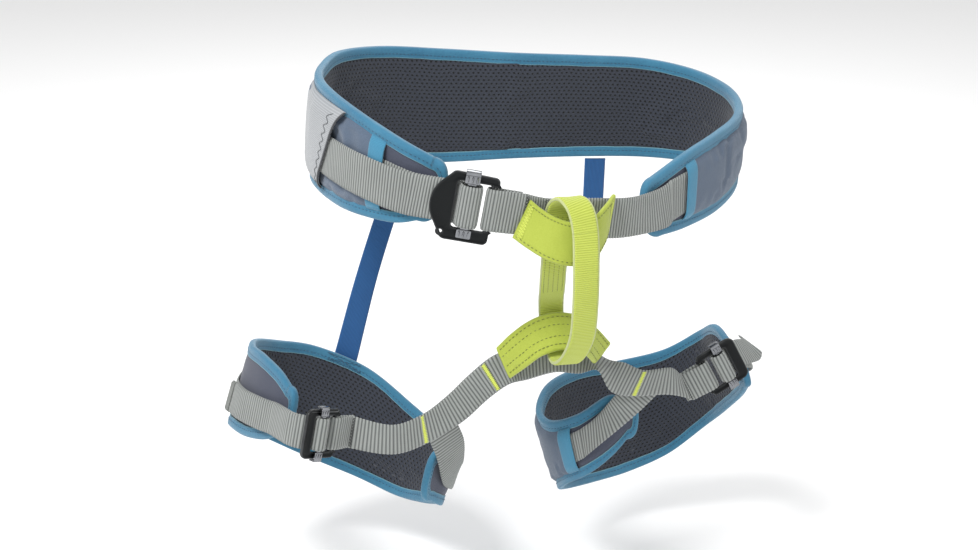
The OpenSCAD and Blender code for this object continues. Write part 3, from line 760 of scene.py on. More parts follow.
def stations(S, step):
    """A strap's stations at even steps: middle, half-width vector, outward and distance."""
    S = np.asarray(S, float)
    c, h = (S[:, :3] + S[:, 3:]) / 2, (S[:, :3] - S[:, 3:]) / 2
    s = np.concatenate([[0], np.cumsum(np.linalg.norm(np.diff(c, axis=0), axis=1))])
    even = np.linspace(0, s[-1], max(int(round(s[-1] / step)), 4) + 1)
    u = np.interp(even, s, np.arange(len(S)))
    both = along(np.concatenate([c, h], 1), u)
    c, h = both[:, :3], both[:, 3:]
    d = unit(np.gradient(c, axis=0))
    out = unit(np.cross(h, d))
    for _ in range(2):
        out = unit(out + np.concatenate([out[:1], out[:-1]]) + np.concatenate([out[1:], out[-1:]]))
    return c, h, out, even


def strap(name, S, thick, material, step=0.56, rib=0.0, pitch=RIB, across=9, edge=0.9, wave=0.0, seed=0,
          pillow=0.0, repeat=1.0):
    """Strap swept through stations of its upper and lower edges, with real ribs and soft edges.

    pillow thickens it by that share in the middle, wave is how far it wanders in and out, and
    repeat scales the distance that its ribbed material sees."""
    c, h, out, s = stations(S, step)
    n = len(c)
    half = np.linalg.norm(h, axis=1)
    g = np.linspace(-1, 1, across)
    v = np.sign(g) * (1 - (1 - np.abs(g)) ** 1.35)
    from_edge = (1 - np.abs(v))[None, :] * half[:, None]
    body = np.sqrt(np.clip(1 - (1 - np.clip(from_edge / edge, 0, 1)) ** 2, 0.0, 1))
    crest = 0.5 + 0.5 * np.cos(2 * np.pi * s / pitch)
    crest = np.clip(crest * 1.6, 0, 1)[:, None]
    z = thick / 2 * (0.3 + 0.7 * body) * (1 + pillow * (1 - v[None, :] ** 2))
    z = z - rib * (1 - crest) * np.clip(from_edge / 1.2, 0.35, 1)
    if wave:
        drift = wave * noise(s[:, None], v[None, :] * half[:, None], seed, 26)
    else:
        drift = 0 * z
    w = v[None, :] * (half[:, None] - (0.28 if rib else 0) * (1 - crest))
    up = h / half[:, None]
    front = c[:, None] + up[:, None] * w[..., None] + out[:, None] * (z + drift)[..., None]
    back = c[:, None] + up[:, None] * w[..., None] - out[:, None] * (z - drift)[..., None]
    ring = np.concatenate([front, back[:, ::-1]], 1)
    k = 2 * across
    faces = grid_faces(n, k, wrap_m=True)
    for base, flip in ((0, False), ((n - 1) * k, True)):
        for j in range(across - 1):
            q = (base + j, base + j + 1, base + k - 2 - j, base + k - 1 - j)
            faces.append(q if not flip else q[::-1])
    uu = np.broadcast_to((s * repeat)[:, None], (n, k))
    vv = np.concatenate([w, w[:, ::-1]], 1)
    obj = mesh_object(name, ring, faces, np.stack([uu, vv], -1), material)
    obj.data.validate()
    return obj, (c, h, out, s, z)


def seam_on(soup, lay, positions, share=None, inset=None, side=1, pitch=3.0, radius=0.3):
    """Row of stitches along a strap, between two distances, at a share of its width or an inset."""
    c, h, out, s, z = lay
    half = np.linalg.norm(h, axis=1)
    at = np.arange(positions[0], positions[1], pitch)
    def pick(a):
        return np.stack([np.interp(at, s, a[:, q]) for q in range(3)], 1)
    hh = np.interp(at, s, half)
    k = share if inset is None else np.sign(inset) * (1 - abs(inset) / hh)
    column = z.shape[1] // 2
    height = np.interp(at, s, z[:, column])
    o = unit(pick(out)) * side
    p = pick(c) + pick(h) * np.broadcast_to(k, at.shape)[:, None] + o * height[:, None]
    ahead = np.roll(p, -1, 0)
    d = unit(ahead - p)
    d[-1] = d[-2] if len(d) > 1 else d[-1]
    soup.stitches(p, d, o, pitch * 0.68, radius)


def tack(soup, lay, at, length, share=(-0.85, 0.85), rows=11, radius=0.32, side=1):
    """Bar tack: one thread zigzagging back and forth over a short length of a strap."""
    c, h, out, s, z = lay
    def pick(a, t):
        return np.array([np.interp(t, s, a[:, q]) for q in range(3)])
    path = []
    count = rows * 2
    height = float(np.interp(at, s, z[:, z.shape[1] // 2]))
    for k in range(count + 1):
        t = at + (length / 2) * (1 if k % 2 else -1)
        v = share[0] + (share[1] - share[0]) * k / count
        o = unit(pick(out, t)) * side
        path.append(pick(c, t) + pick(h, t) * v + o * height)
    fine = spline(np.array(path), 3)
    soup.tube(fine, radius, 5)


# ---------------------------------------------------------------- metal


def arc(centre, r, a, b, n):
    g = np.radians(np.linspace(a, b, n + 1))
    return np.stack([centre[0] + r * np.cos(g), centre[1] + r * np.sin(g)], 1)


def rounded(corners, n=5):
    """Outline through corners (x, y, radius), each rounded."""
    corners = np.asarray(corners, float)
    out = []
    for i, (x, y, r) in enumerate(corners):
        p, a, b = np.array([x, y]), corners[i - 1, :2], corners[(i + 1) % len(corners), :2]
        if r <= 0:
            out.append(p)
            continue
        ua, ub = unit(a - p), unit(b - p)
        reach = r / math.tan(math.acos(float(np.clip(ua @ ub, -0.999, 0.999))) / 2)
        start, end = p + ua * reach, p + ub * reach
        for t in np.linspace(0, 1, n + 1):
            out.append((1 - t) ** 2 * start + 2 * t * (1 - t) * p + t * t * end)
    return np.array(out)


def inset_outline(outline, amount):
    """Outline moved inward (or outward, below 0), for a counterclockwise outline."""
    a, b = outline - np.roll(outline, 1, 0), np.roll(outline, -1, 0) - outline
    na, nb = unit(np.stack([-a[:, 1], a[:, 0]], 1)), unit(np.stack([-b[:, 1], b[:, 0]], 1))
    n = unit(na + nb)
    cosine = np.clip(np.sum(n * na, 1), 0.5, 1)
    return outline + n * (amount / cosine)[:, None]


def plate_shape(soup, outline, holes, low, high, bevel, rim=0.0, rim_width=1.4):
    """Flat metal plate with holes, bevelled edges and, if asked for, a raised rim on its upper face."""
    def walk(edge, outward):
        sign = 1 if outward else -1
        levels = [(rim_width + 0.5, high - rim), (rim_width, high - rim * 0.3),
                  (bevel, high)] if rim else [(bevel, high)]
        levels += [(bevel * 0.3, high - bevel * 0.3), (0, high - bevel), (0, low + bevel),
                   (bevel * 0.3, low + bevel * 0.3), (bevel, low)]
        rings = []
        for amount, z in levels:
            ring = inset_outline(edge, sign * amount)
            rings.append(np.concatenate([ring, np.full((len(ring), 1), z)], 1))
        return rings
    parts = [walk(outline, True)] + [walk(h, False) for h in holes]
    points, faces, tops, lows, base = [], [], [], [], 0
    for index, rings in enumerate(parts):
        k = len(rings[0])
        for i in range(len(rings) - 1):
            for j in range(k):
                a, b = base + i * k + j, base + i * k + (j + 1) % k
                q = (a, a + k, b + k, b)
                faces.append(q if index == 0 else q[::-1])
        tops.append((rings[0], base))
        lows.append((rings[-1], base + (len(rings) - 1) * k))
        for ring in rings:
            points.append(ring)
        base += k * len(rings)
    for loops, up in ((tops, True), (lows, False)):
        ids = np.concatenate([np.arange(len(r)) + b for r, b in loops])
        tris = tessellate_polygon([[Vector(p) for p in r] for r, _ in loops])
        for t in tris:
            pa, pb, pc = (np.concatenate([r for r, _ in loops])[q] for q in t)
            ccw = np.cross(pb - pa, pc - pa)[2] > 0
            face = tuple(int(ids[q]) for q in t)
            faces.append(face if ccw == up else face[::-1])
    soup.add(np.concatenate(points), faces)


def metal(name, B, soup, material, body):
    """Turns a soup given in an adjuster's frame into the part's frame and lets it ride."""
    soup.points = [placed(B, p) for p in soup.points]
    obj = soup.finish(name, material)
    obj.data.set_sharp_from_angle(angle=math.radians(32))
    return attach(obj, body)

# ---------------------------------------------------------------- pads

TUCK = 1.6
EDGE_IN = FOLD - TUCK


def pad(name, P, body, edge_thick, seed, liner_rise, shell_range, per_station, across, offsets):
    """A padded belt: liner, foam, backing, cover and binding. Returns what the simulation needs."""
    liner_at, backing_at, shell_at = offsets
    liner = Panel(P, EDGE_IN, liner_at, liner_rise, per_station, across, -1, (-0.5, 1.6))
    backing = Panel(P, EDGE_IN, backing_at, 0.9, per_station, across, 1, (-0.3, 0.7))
    shell = Panel(P, EDGE_IN, shell_at, SWELL + 0.7, per_station, across, 1, (-0.5, 1.6),
                  tips=False, start=shell_range[0], stop=shell_range[1])
    return {"name": name, "P": P, "body": body, "edge": edge_thick, "seed": seed,
            "liner": liner, "backing": backing, "shell": shell}


pads = [
    pad("waist", WAIST, "waist", WAIST_EDGE, 3, -2.2, (1.3, 17.05), 8, 15, (-2.3, 1.9, 2.3)),
    pad("left_leg", LEFT, "legs", LEG_EDGE, 7, -1.8, (4.3, 9.4), 8, 13, (-1.95, 1.5, 1.9)),
    pad("right_leg", RIGHT, "legs", LEG_EDGE, 11, -1.8, (2.3, 9.6), 8, 13, (-1.95, 1.5, 1.9)),
]
moving = [(p, part) for p in pads for part in ("liner", "shell")]
for (p, part), grid in zip(moving, settled([p[part].data for p, part in moving])):
    p[part].grid = grid
for p in pads:
    p["backing"].grid = p["backing"].data["grid"]

for p in pads:
    name, body = p["name"], p["body"]
    foam_columns = Columns(p["P"], EDGE_IN, 4, (14, 28, 42, 56, 70))
    v = np.linspace(0, 1, 9)
    rise = bulge(v)[None, :] * foam_columns.swell[:, None]
    across_share = np.broadcast_to(2 * v - 1, rise.shape)
    face = foam_columns.at(across_share, 0.5 + 0.6 * rise)
    depth = (2.0 + 2.0 * rise)[..., None]
    foam = slab(name + "_foam_core", face, foam_columns.out[:, None] * depth, 1, FOAM,
                foam_columns.s, foam_columns.half)
    foam.data.flip_normals()
    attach(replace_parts(foam, name + "_foam"), body)
    liner = p["liner"].build(name + "_liner_cloth", 0.5, LINER)
    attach(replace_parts(liner, name + "_liner"), body)
    backing = p["backing"].build(name + "_backing_cloth", 0.5, BACKING)
    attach(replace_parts(backing, name + "_backing"), body)
    shell = p["shell"].build(name + "_cover_cloth", 0.6, COVER)
    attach(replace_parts(shell, name + "_shell"), body)
    tape, stitches = binding(name + "_binding_folded", p["P"], p["edge"], p["seed"])
    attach(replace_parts(tape, name + "_binding"), body)
    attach(stitches, body)


def slot_tape(name, P, start, stop, offset, body, across=15):
    """Tape that finishes the end of a cover, where the webbing leaves its channel."""
    f = Frames(P, np.linspace(start - 0.02, stop + 0.02, 9))
    v = np.linspace(-1, 1, across)
    half = f.half - EDGE_IN
    shape = offset + (SWELL + 0.75) * (1 - np.abs(v) ** 6)
    middle = np.sin(np.linspace(0, np.pi, 9)) ** 0.5 * 0.35
    grid = (f.c[:, None] + f.up[:, None] * (half[:, None] * v)[..., None]
            + f.out[:, None] * (shape[None, :] + middle[:, None])[..., None])
    s = np.concatenate([[0], np.cumsum(np.linalg.norm(np.diff(f.c, axis=0), axis=1))])
    obj = slab(name, refined(grid, 2), unit(refined(np.broadcast_to(f.out[:, None], grid.shape).copy(), 2)),
               1.0,
               TAPE, np.interp(np.linspace(0, 8, 17), np.arange(9), s),
               np.interp(np.linspace(0, 8, 17), np.arange(9), half))
    obj.data.flip_normals()
    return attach(obj, body)


for node, P, start, stop, offset, body in (
        ("waist_slot_tape_left", WAIST, 1.3, 1.57, 3.1, "waist"),
        ("waist_slot_tape_right", WAIST, 16.86, 17.1, 3.1, "waist"),
        ("left_leg_slot_tape_outer", LEFT, 4.3, 4.52, 2.6, "legs"),
        ("left_leg_slot_tape_inner", LEFT, 9.12, 9.42, 2.6, "legs"),
        ("right_leg_slot_tape_outer", RIGHT, 9.36, 9.62, 2.6, "legs"),
        ("right_leg_slot_tape_inner", RIGHT, 2.28, 2.64, 2.6, "legs")):
    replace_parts(slot_tape(node + "_folded", P, start, stop, offset, body), node)

# Elastic sleeve over the free end of the waist webbing
sleeve_u = np.linspace(2.65, 4.45, 37)
f = Frames(WAIST, sleeve_u)
v = np.linspace(-1, 1, 19)
station = (sleeve_u - 2.65) / 0.3
fade = np.where(station < 3, 1, 1 - (station - 2) * 0.12)
half = f.half - EDGE_IN
height = 3.9 + 7.1 * (1 - np.abs(v) ** 6)[None, :] * fade[:, None]
height = height + 0.25 * noise(sleeve_u[:, None] * 36, v[None, :] * 30, 19, 24)
grid = f.c[:, None] + f.up[:, None] * (half[:, None] * v)[..., None] + f.out[:, None] * height[..., None]
front_slant = 17.0 * (v[None, :]) * np.clip(1 - (sleeve_u - 2.65) / 1.0, 0, 1)[:, None]
grid = grid - f.fore[:, None] * front_slant[..., None]
s = np.concatenate([[0], np.cumsum(np.linalg.norm(np.diff(f.c, axis=0), axis=1))])
out = np.broadcast_to(f.out[:, None], grid.shape)
sleeve = slab("elastic_sleeve", grid, out, 0.9, SLEEVE, s, half)
sleeve.data.flip_normals()
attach(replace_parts(sleeve, "tail_sleeve"), "waist")
edge_soup = Soup()
front = grid[0] + out[0] * 0.25
edge_soup.tube(spline(front, 3), 1.0, 8, flat=np.broadcast_to(f.out[0], spline(front, 3).shape))
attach(edge_soup.finish("sleeve_front_elastic", SLEEVE_EDGE), "waist")
zigzag = Soup()
row = 4
path = [grid[row + (1 if k % 2 else -1), j] + out[row, j] * 0.15 for k, j in enumerate(range(1, 18))]
zigzag.tube(spline(np.array(path), 4), 0.36, 5)
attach(zigzag.finish("sleeve_zigzag", GREY_THREAD), "waist")

# ---------------------------------------------------------------- webbing

WHALF, LHALF = WAIST_WIDTH / 2, LEG_WIDTH / 2
RIB_DEPTH = 0.2


def webs(B, points, half):
    return np.array([web_at(B, x, z, half) for x, z in points])


def follow(obj, body):
    """Rides one body; given instead the four values of a blend between two bodies, it stays fixed where it
    is.
    """
    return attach(obj, body) if isinstance(body, str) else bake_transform(obj)


def grey(name, S, node, body, seed=0, wave=0.15):
    """Length of grey webbing that stands for a CAD node; the waist webbing has the finer ribs."""
    pitch = 2.25 if name.startswith("waist") else RIB
    obj, lay = strap(name, S, WEB_THICK + 0.1, WEBBING, step=pitch / 5, rib=RIB_DEPTH, pitch=pitch, wave=wave,
                     seed=seed, repeat=RIB / pitch)
    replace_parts(obj, node)
    follow(obj, body)
    return obj, lay


def folded_end(name, lay, body, length=9.0):
    """Last stretch of a webbing, which stands for its folded and sewn end: thicker, with fine ribs."""
    c, h, s = lay[0], lay[1], lay[3]
    keep = s >= s[-1] - length
    c, h = c[keep] + 0.4 * unit(c[-1] - c[-2]), h[keep] * 1.015
    obj, _ = strap(name, np.concatenate([c + h, c - h], 1), WEB_THICK + 1.5, END_WEBBING, step=0.5, rib=0.05,
                   pitch=1.1)
    return follow(obj, body)


def at_bar(B, x, z):
    return tuple(placed(B, (x, 0, z)) * MM)


BAR_LOOP = [(3.1 * math.cos(math.radians(g)), 1.2 + 3.1 * math.sin(math.radians(g)))
            for g in (110, 140, 167, 193, 220, 250)]

waist_in = spline(np.concatenate([
    webs(WAIST_ADJUSTER, [(-15.6, -3.6), (-25, -3.6), (-36, -3.6)], WHALF),
    lying(WAIST, [[0.4, 5.6, -0.16], [0.8, 4.5, -0.12], [1.2, 3.75, -0.08], [1.6, 3.75, -0.08],
                  [2, 3.75, -0.08], [2.5, 3.75, -0.08], [3, 3.75, -0.03]], WHALF)]), 2)
waist_run = np.concatenate([
    lying(WAIST, [[u, 3.6 if u > 16 else 3.75, -0.06 if u < 3 else 0] for u in np.arange(2.75, 17.1, 0.25)],
          WHALF),
    spline(np.concatenate([
        lying(WAIST, [[17.5, 4.4, 0], [18, 6, -0.04]], WHALF),
        [[x, y - 1.6, z, x - 2, y + 1.6, low] for x, y, z, low in
         ((54, -120, -1, -32.5), (30, -125, 1, -30.5), (6, -126.8, 3, -28.5), (-12, -127, 4, -27.5))],
        webs(WAIST_ADJUSTER, [(24, 0.6)], WHALF)]), 3),
    webs(WAIST_ADJUSTER, [(14, 2.6), (4, 4.2)] + BAR_LOOP + [(4, -1.9), (14, -2.1), (22, -2.2)], WHALF)])
waist_blend = ("waist", "waist_adjuster", tuple(Frames(WAIST, [0.9]).c[0] * MM),
               at_bar(WAIST_ADJUSTER, -26, -3.6))
grey("waist_webbing_front", waist_in, "waist_webbing", waist_blend, seed=21)
_, main_lay = grey("waist_webbing_main", waist_run, "waist_webbing", "waist", seed=22)
turn_points = [(-15.6, -3.6), (-10, -3), (-7.2, 1), (-9, 5.5), (-15, 6.8), (-20.5, 5.2), (-22.3, 1.6),
               (-24, -1), (-27.4, -1.5)]
grey("waist_webbing_roll", spline(webs(WAIST_ADJUSTER, turn_points, WHALF), 5), "waist_webbing_turn",
     "waist_slider_bar", wave=0)
short_in = spline(np.concatenate([
    webs(WAIST_ADJUSTER, [(-16, -3.6), (-25, -3.6), (-36, -3.6)], WHALF),
    lying(WAIST, [[0.4, 5.6, -0.16], [0.8, 4.5, -0.12], [1.2, 3.75, -0.08]], WHALF)]), 2)
waist_tail = np.concatenate([
    webs(WAIST_ADJUSTER, [(-27.4, -1.5)], WHALF), over(short_in, 3, 6, 2.15),
    spline(lying(WAIST, [[0.7, 7.4, -0.15], [1.1, 8.4, -0.12], [1.6, 8.8, -0.1], [2, 8.8, -0.09],
                         [2.6, 8.6, -0.08], [3.3, 8.5, -0.08]], WHALF), 2)])
grey("waist_webbing_free_end", waist_tail, "waist_webbing_tail", waist_blend, seed=23)

LEG_BAR = [(-14.5, -3.4), (-10, -2.9), (-7.9, 0.8), (-9.4, 5.1), (-13.5, 6.4), (-17.6, 4.9), (-18.6, 1.6),
           (-20, -0.8), (-23.2, -1.1)]


def leg_loop(B):
    return webs(B, [(24, -2.1), (14, -2), (4, -1.9)] + BAR_LOOP[::-1] + [(4, 4.2), (12, 2.4)], LHALF)


bridge = np.concatenate([
    leg_loop(RIGHT_ADJUSTER),
    spline(np.concatenate([webs(RIGHT_ADJUSTER, [(20, 0.4)], LHALF), BRIDGE,
                           webs(LEFT_ADJUSTER, [(20, 0.4)], LHALF)]), 4),
    leg_loop(LEFT_ADJUSTER)[::-1]])
_, bridge_lay = grey("leg_bridge_webbing", bridge, "leg_bridge", "legs", seed=31)

LEFT_FALL = [(-21, -4.6), (-25, -9.5), (-26, -18)]
LEFT_ON_PAD = [[0.4, 5.4, -0.42], [1.2, 4.8, -0.3], [2, 4.6, -0.28], [2.5, 4.4, -0.28], [3, 4, -0.26],
               [3.5, 3.6, -0.2], [4, 3.4, -0.06]]
left_in = spline(np.concatenate([
    webs(LEFT_ADJUSTER, [(-14.6, -3.4)] + LEFT_FALL, LHALF),
    lying(LEFT, LEFT_ON_PAD + [[4.5, 3.3, 0.04], [5, 3.3, 0.04]], LHALF)]), 3)
left_blend = ("legs", "left_adjuster", tuple(Frames(LEFT, [0.8]).c[0] * MM), at_bar(LEFT_ADJUSTER, -24, -6))
grey("left_leg_webbing_front", left_in, "left_leg_webbing", left_blend, seed=32)
left_run = np.concatenate([
    lying(LEFT, [[u, 3.3, 0.04] for u in np.arange(4.75, 9.6, 0.25)], LHALF),
    spline(np.concatenate([
        lying(LEFT, [[10, 4, 0.08], [10.5, 5, 0.14]], LHALF),
        [[-56, -40, -232, -74, -46, -250], [-60, -60, -206, -82, -62, -220],
         [-72, -71, -178, -94, -71, -190]]]), 3)])
grey("left_leg_webbing_main", left_run, "left_leg_webbing", "legs", seed=33)
grey("left_leg_webbing_roll", spline(webs(LEFT_ADJUSTER, LEG_BAR, LHALF), 5), "left_leg_webbing_turn",
     "left_slider_bar", wave=0)
left_short = spline(np.concatenate([
    webs(LEFT_ADJUSTER, [(-15, -3.4)] + LEFT_FALL, LHALF),
    lying(LEFT, LEFT_ON_PAD, LHALF)]), 2)
left_tail = np.concatenate([
    spline(webs(LEFT_ADJUSTER, [(-23.2, -1.4), (-27, -3.6), (-29, -9.5)], LHALF), 2),
    over(left_short, 6, 15, 2.3),
    lying(LEFT, [[3.05, 7.4, -0.28]], LHALF)])
_, left_tail_lay = grey("left_leg_webbing_free_end", left_tail, "left_leg_webbing_tail", left_blend, seed=34)
folded_end("left_leg_webbing_folded_end", left_tail_lay, left_blend)

right_out = spline(np.concatenate([
    lying(RIGHT, [[9, 3.3, 0.02], [9.5, 3.3, 0.02], [10, 3.6, 0], [10.5, 4, 0.08], [11, 4.7, 0.25]], LHALF),
    [[177, -23, -159, 184, -25, -183], [173, -35, -153, 183, -36, -176], [164, -48, -149, 175, -47, -171]],
    webs(RIGHT_ADJUSTER, [(-21, -3.8), (-15.4, -3.5)], LHALF)]), 3)
right_blend = ("legs", "right_adjuster", (0.177, -0.015, -0.166), at_bar(RIGHT_ADJUSTER, -23, -3))
grey("right_leg_webbing_front", right_out, "right_leg_webbing", right_blend, seed=35, wave=0)
right_run = np.concatenate([
    spline(np.concatenate([
        [[76, -66, -164, 94, -66, -180], [60, -66, -178, 76, -67, -196]],
        lying(RIGHT, [[1.5, 6, 0.2], [2, 4.4, 0.08]], LHALF)]), 3),
    lying(RIGHT, [[u, 3.3, 0.02] for u in np.arange(2.5, 9.3, 0.25)], LHALF)])
grey("right_leg_webbing_main", right_run, "right_leg_webbing", "legs", seed=36)
grey("right_leg_webbing_roll", spline(webs(RIGHT_ADJUSTER, LEG_BAR, LHALF), 5), "right_leg_webbing_turn",
     "right_slider_bar", wave=0)
right_tail = spline(np.concatenate([
    [[169, -38, -146, 189, -40, -162], [169, -46, -146, 185, -45, -166]],
    webs(RIGHT_ADJUSTER, [(-31, -2.6), (-23.2, -1.4)], LHALF)]), 4)
tail_blend = ("legs", "right_adjuster", (0.19, -0.02, -0.15), at_bar(RIGHT_ADJUSTER, -26, -2))
grey("right_leg_webbing_free_end", right_tail, "right_leg_webbing_tail", tail_blend, seed=37)

# ---------------------------------------------------------------- tie-in loops and belay loop

sling, sling_lay = strap("upper_tie_in_sling", spline(SLING, 14), TIE_THICK, LIME, step=0.9, across=19,
                         edge=1.3,
                         wave=0.35, seed=41, pillow=0.12)
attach(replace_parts(sling, "upper_tie_in_loop"), "waist")
arch, arch_lay = strap("lower_tie_in_arch", spline(ARCH, 14), TIE_THICK + 1, LIME, step=0.9, across=19,
                       edge=2.2,
                       wave=0.5, seed=42, pillow=0.3)
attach(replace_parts(arch, "lower_tie_in_loop"), "legs")

fine = []
count = len(BELAY)
for i in range(count):
    a, b, c, d = (BELAY[(i + k) % count] for k in (-1, 0, 1, 2))
    for t in np.linspace(0, 1, 9)[:-1]:
        fine.append(0.5 * (2 * b + (c - a) * t + (2 * a - 5 * b + 4 * c - d) * t * t
                           + (3 * b - a - 3 * c + d) * t ** 3))
centre = np.array(fine)
direction = unit(np.roll(centre, -1, 0) - np.roll(centre, 1, 0))
thick_way = unit(np.cross(direction, [1.0, 0, 0]))
wide_way = np.cross(thick_way, direction)
closed_centre = np.concatenate([centre, centre[:1]])
closed_wide = np.concatenate([wide_way, wide_way[:1]])
belay_stations = np.concatenate([closed_centre + closed_wide * BELAY_WIDTH / 2,
                                 closed_centre - closed_wide * BELAY_WIDTH / 2], 1)
belay, belay_lay = strap("belay_ring", belay_stations, BELAY_THICK, LIME_LOOP, step=0.425, rib=0.07,
                         pitch=BELAY_ROW,
                         across=13, edge=1.5)
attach(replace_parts(belay, "belay_loop"), "belay")


def near(lay, point):
    """Distance along a strap of its place nearest to a point."""
    return float(lay[3][np.argmin(np.linalg.norm(lay[0] - np.array(point, float), axis=1))])


dark_tacks, bridge_tacks, waist_tacks = Soup(), Soup(), Soup()
at = near(main_lay, placed(WAIST_ADJUSTER, (27, 0, 1.5)))
tack(waist_tacks, main_lay, at, 2.4, share=(-0.92, 0.92), rows=12)
tack(waist_tacks, main_lay, at - 17, 2.4, share=(-0.92, 0.92), rows=12)
for B, x in ((LEFT_ADJUSTER, 21), (RIGHT_ADJUSTER, 21)):
    tack(dark_tacks, bridge_lay, near(bridge_lay, placed(B, (x, 0, 2))), 2.6, share=(-0.92, 0.92), rows=10)
for point in ((-94, -78, -190), (77, -74, -163), (-43, -75, -150)):
    tack(bridge_tacks, bridge_lay, near(bridge_lay, point), 3.6, share=(-0.9, 0.9), rows=16, radius=0.4)
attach(waist_tacks.finish("waist_webbing_tacks", DARK_THREAD), "waist")
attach(dark_tacks.finish("leg_webbing_tacks", DARK_THREAD), "legs")
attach(bridge_tacks.finish("bridge_lime_tacks", LIME_THREAD), "legs")

olive = {"waist": Soup(), "legs": Soup()}
sling_length, arch_length, belay_length = (lay[3][-1] for lay in (sling_lay, arch_lay, belay_lay))
for side in (1, -1):
    for inset in (-2.8, 2.8):
        seam_on(olive["waist"], sling_lay, (2, sling_length - 2), inset=inset, side=side)
    for share in (-0.72, -0.3, 0.3, 0.72):
        seam_on(olive["legs"], arch_lay, (3, arch_length - 3), share=share, side=side, pitch=3.4)
belay_seams = Soup()
for share in (-0.78, -0.4, 0, 0.4, 0.78):
    for side in (1, -1):
        seam_on(belay_seams, belay_lay, (belay_length * 0.62, belay_length * 0.86), share=share, side=side,
                pitch=2.6,
                radius=0.26)
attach(belay_seams.finish("belay_loop_stitches", OLIVE_THREAD), "belay")
edge_tape = Soup()
for share in (-0.97, 0.97):
    c, h, out = (a for a in belay_lay[:3])
    edge_tape.tube(c + h * share, 1.15, 8)
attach(edge_tape.finish("belay_loop_selvage", SELVAGE), "belay")
lime_tacks = Soup()
for side in (1, -1):
    tack(lime_tacks, sling_lay, 5, 9, side=side, rows=14)
    tack(lime_tacks, sling_lay, sling_length - 4, 5, side=side, rows=12)
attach(olive["waist"].finish("sling_stitches", OLIVE_THREAD), "waist")
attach(olive["legs"].finish("arch_stitches", OLIVE_THREAD), "legs")
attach(lime_tacks.finish("sling_bar_tacks", LIME_THREAD), "waist")

# ---------------------------------------------------------------- risers

LEFT_RISER = [[-84, 120, -34, -66, 120, -35], [-99, 116, -72, -81, 116, -73],
              [-119, 106, -125, -101, 106, -128],
              [-137, 94.4, -178, -119, 93.8, -187], [-141, 93.4, -190, -123, 92.6, -199]]
RIGHT_RISER = [[82, 122, -36, 100, 122, -37], [77, 110, -88, 95, 111, -88], [69, 88, -144, 87, 92, -145],
               [59, 65.2, -192, 77, 75.5, -194], [60.5, 64, -209, 78.4, 74, -211]]
for node, S in (("left_riser", LEFT_RISER), ("right_riser", RIGHT_RISER)):
    S = np.array(S, float)
    riser, _ = strap(node + "_elastic", spline(S, 14), 1.6, RISER, step=1.0, across=13, edge=0.8, wave=0.2,
                     seed=51)
    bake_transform(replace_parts(riser, node))

# Box of stitches on the leg's binding, at the lower end of the left riser
patch = Soup()
for start, stop, depth in ((6.2, 6.85, 1.6), (6.2, 6.85, 7.2)):
    f = Frames(LEFT, np.linspace(start, stop, 23))
    wander = np.where(np.arange(23) % 2, 0.7, -0.7)
    patch.tube(f.c + f.up * (f.half - depth + wander)[:, None] - f.out * (LEG_EDGE / 2 + 0.05), 0.3, 5)
for start, stop in ((6.2, 6.85), (6.85, 6.2)):
    f = Frames(LEFT, np.linspace(start, stop, 15))
    depth = np.linspace(1.6, 7.2, 15) + np.where(np.arange(15) % 2, 0.5, -0.5)
    patch.tube(f.c + f.up * (f.half - depth)[:, None] - f.out * (LEG_EDGE / 2 + 0.1), 0.3, 5)
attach(patch.finish("left_riser_stitch_box", TEAL_THREAD), "legs")

# ---------------------------------------------------------------- adjusters


WAIST_OUTLINE = np.concatenate([
    arc((1, 20), 4, 0, 90, 8), arc((-26, 20), 5, 90, 125, 6), arc((-18, -1), 25, 142, 206, 24),
    arc((-28, -22), 6, 225, 270, 8), arc((-1, -24), 4, 270, 360, 8),
    rounded([(3.2, -17, 0.8), (1.4, -17, 0.8), (1.4, 17, 0.8), (4.8, 17, 0.8)], 3)])
WAIST_OPENING = rounded([(-25, -18, 2.5), (-1.2, -18, 1.2), (-1.2, 18, 1.2), (-25, 18, 2.5)], 6)
HOLE = arc((-32, -22.5), 1.6, 0, 345, 23)
LEG_OUTLINE = np.concatenate([
    arc((0.5, 15.5), 3.5, 0, 90, 8), arc((-24, 13), 6, 90, 160, 8), arc((-24, -13), 6, 200, 270, 8),
    arc((0.5, -15.5), 3.5, 270, 360, 8),
    rounded([(4, -13.4, 0.6), (1.4, -13.4, 0.6), (1.4, 13.4, 0.6), (4, 13.4, 0.6)], 3)])
LEG_OPENING = rounded([(-21, -13.8, 2.2), (-1.2, -13.8, 1.0), (-1.2, 13.8, 1.0), (-21, 13.8, 2.2)], 6)


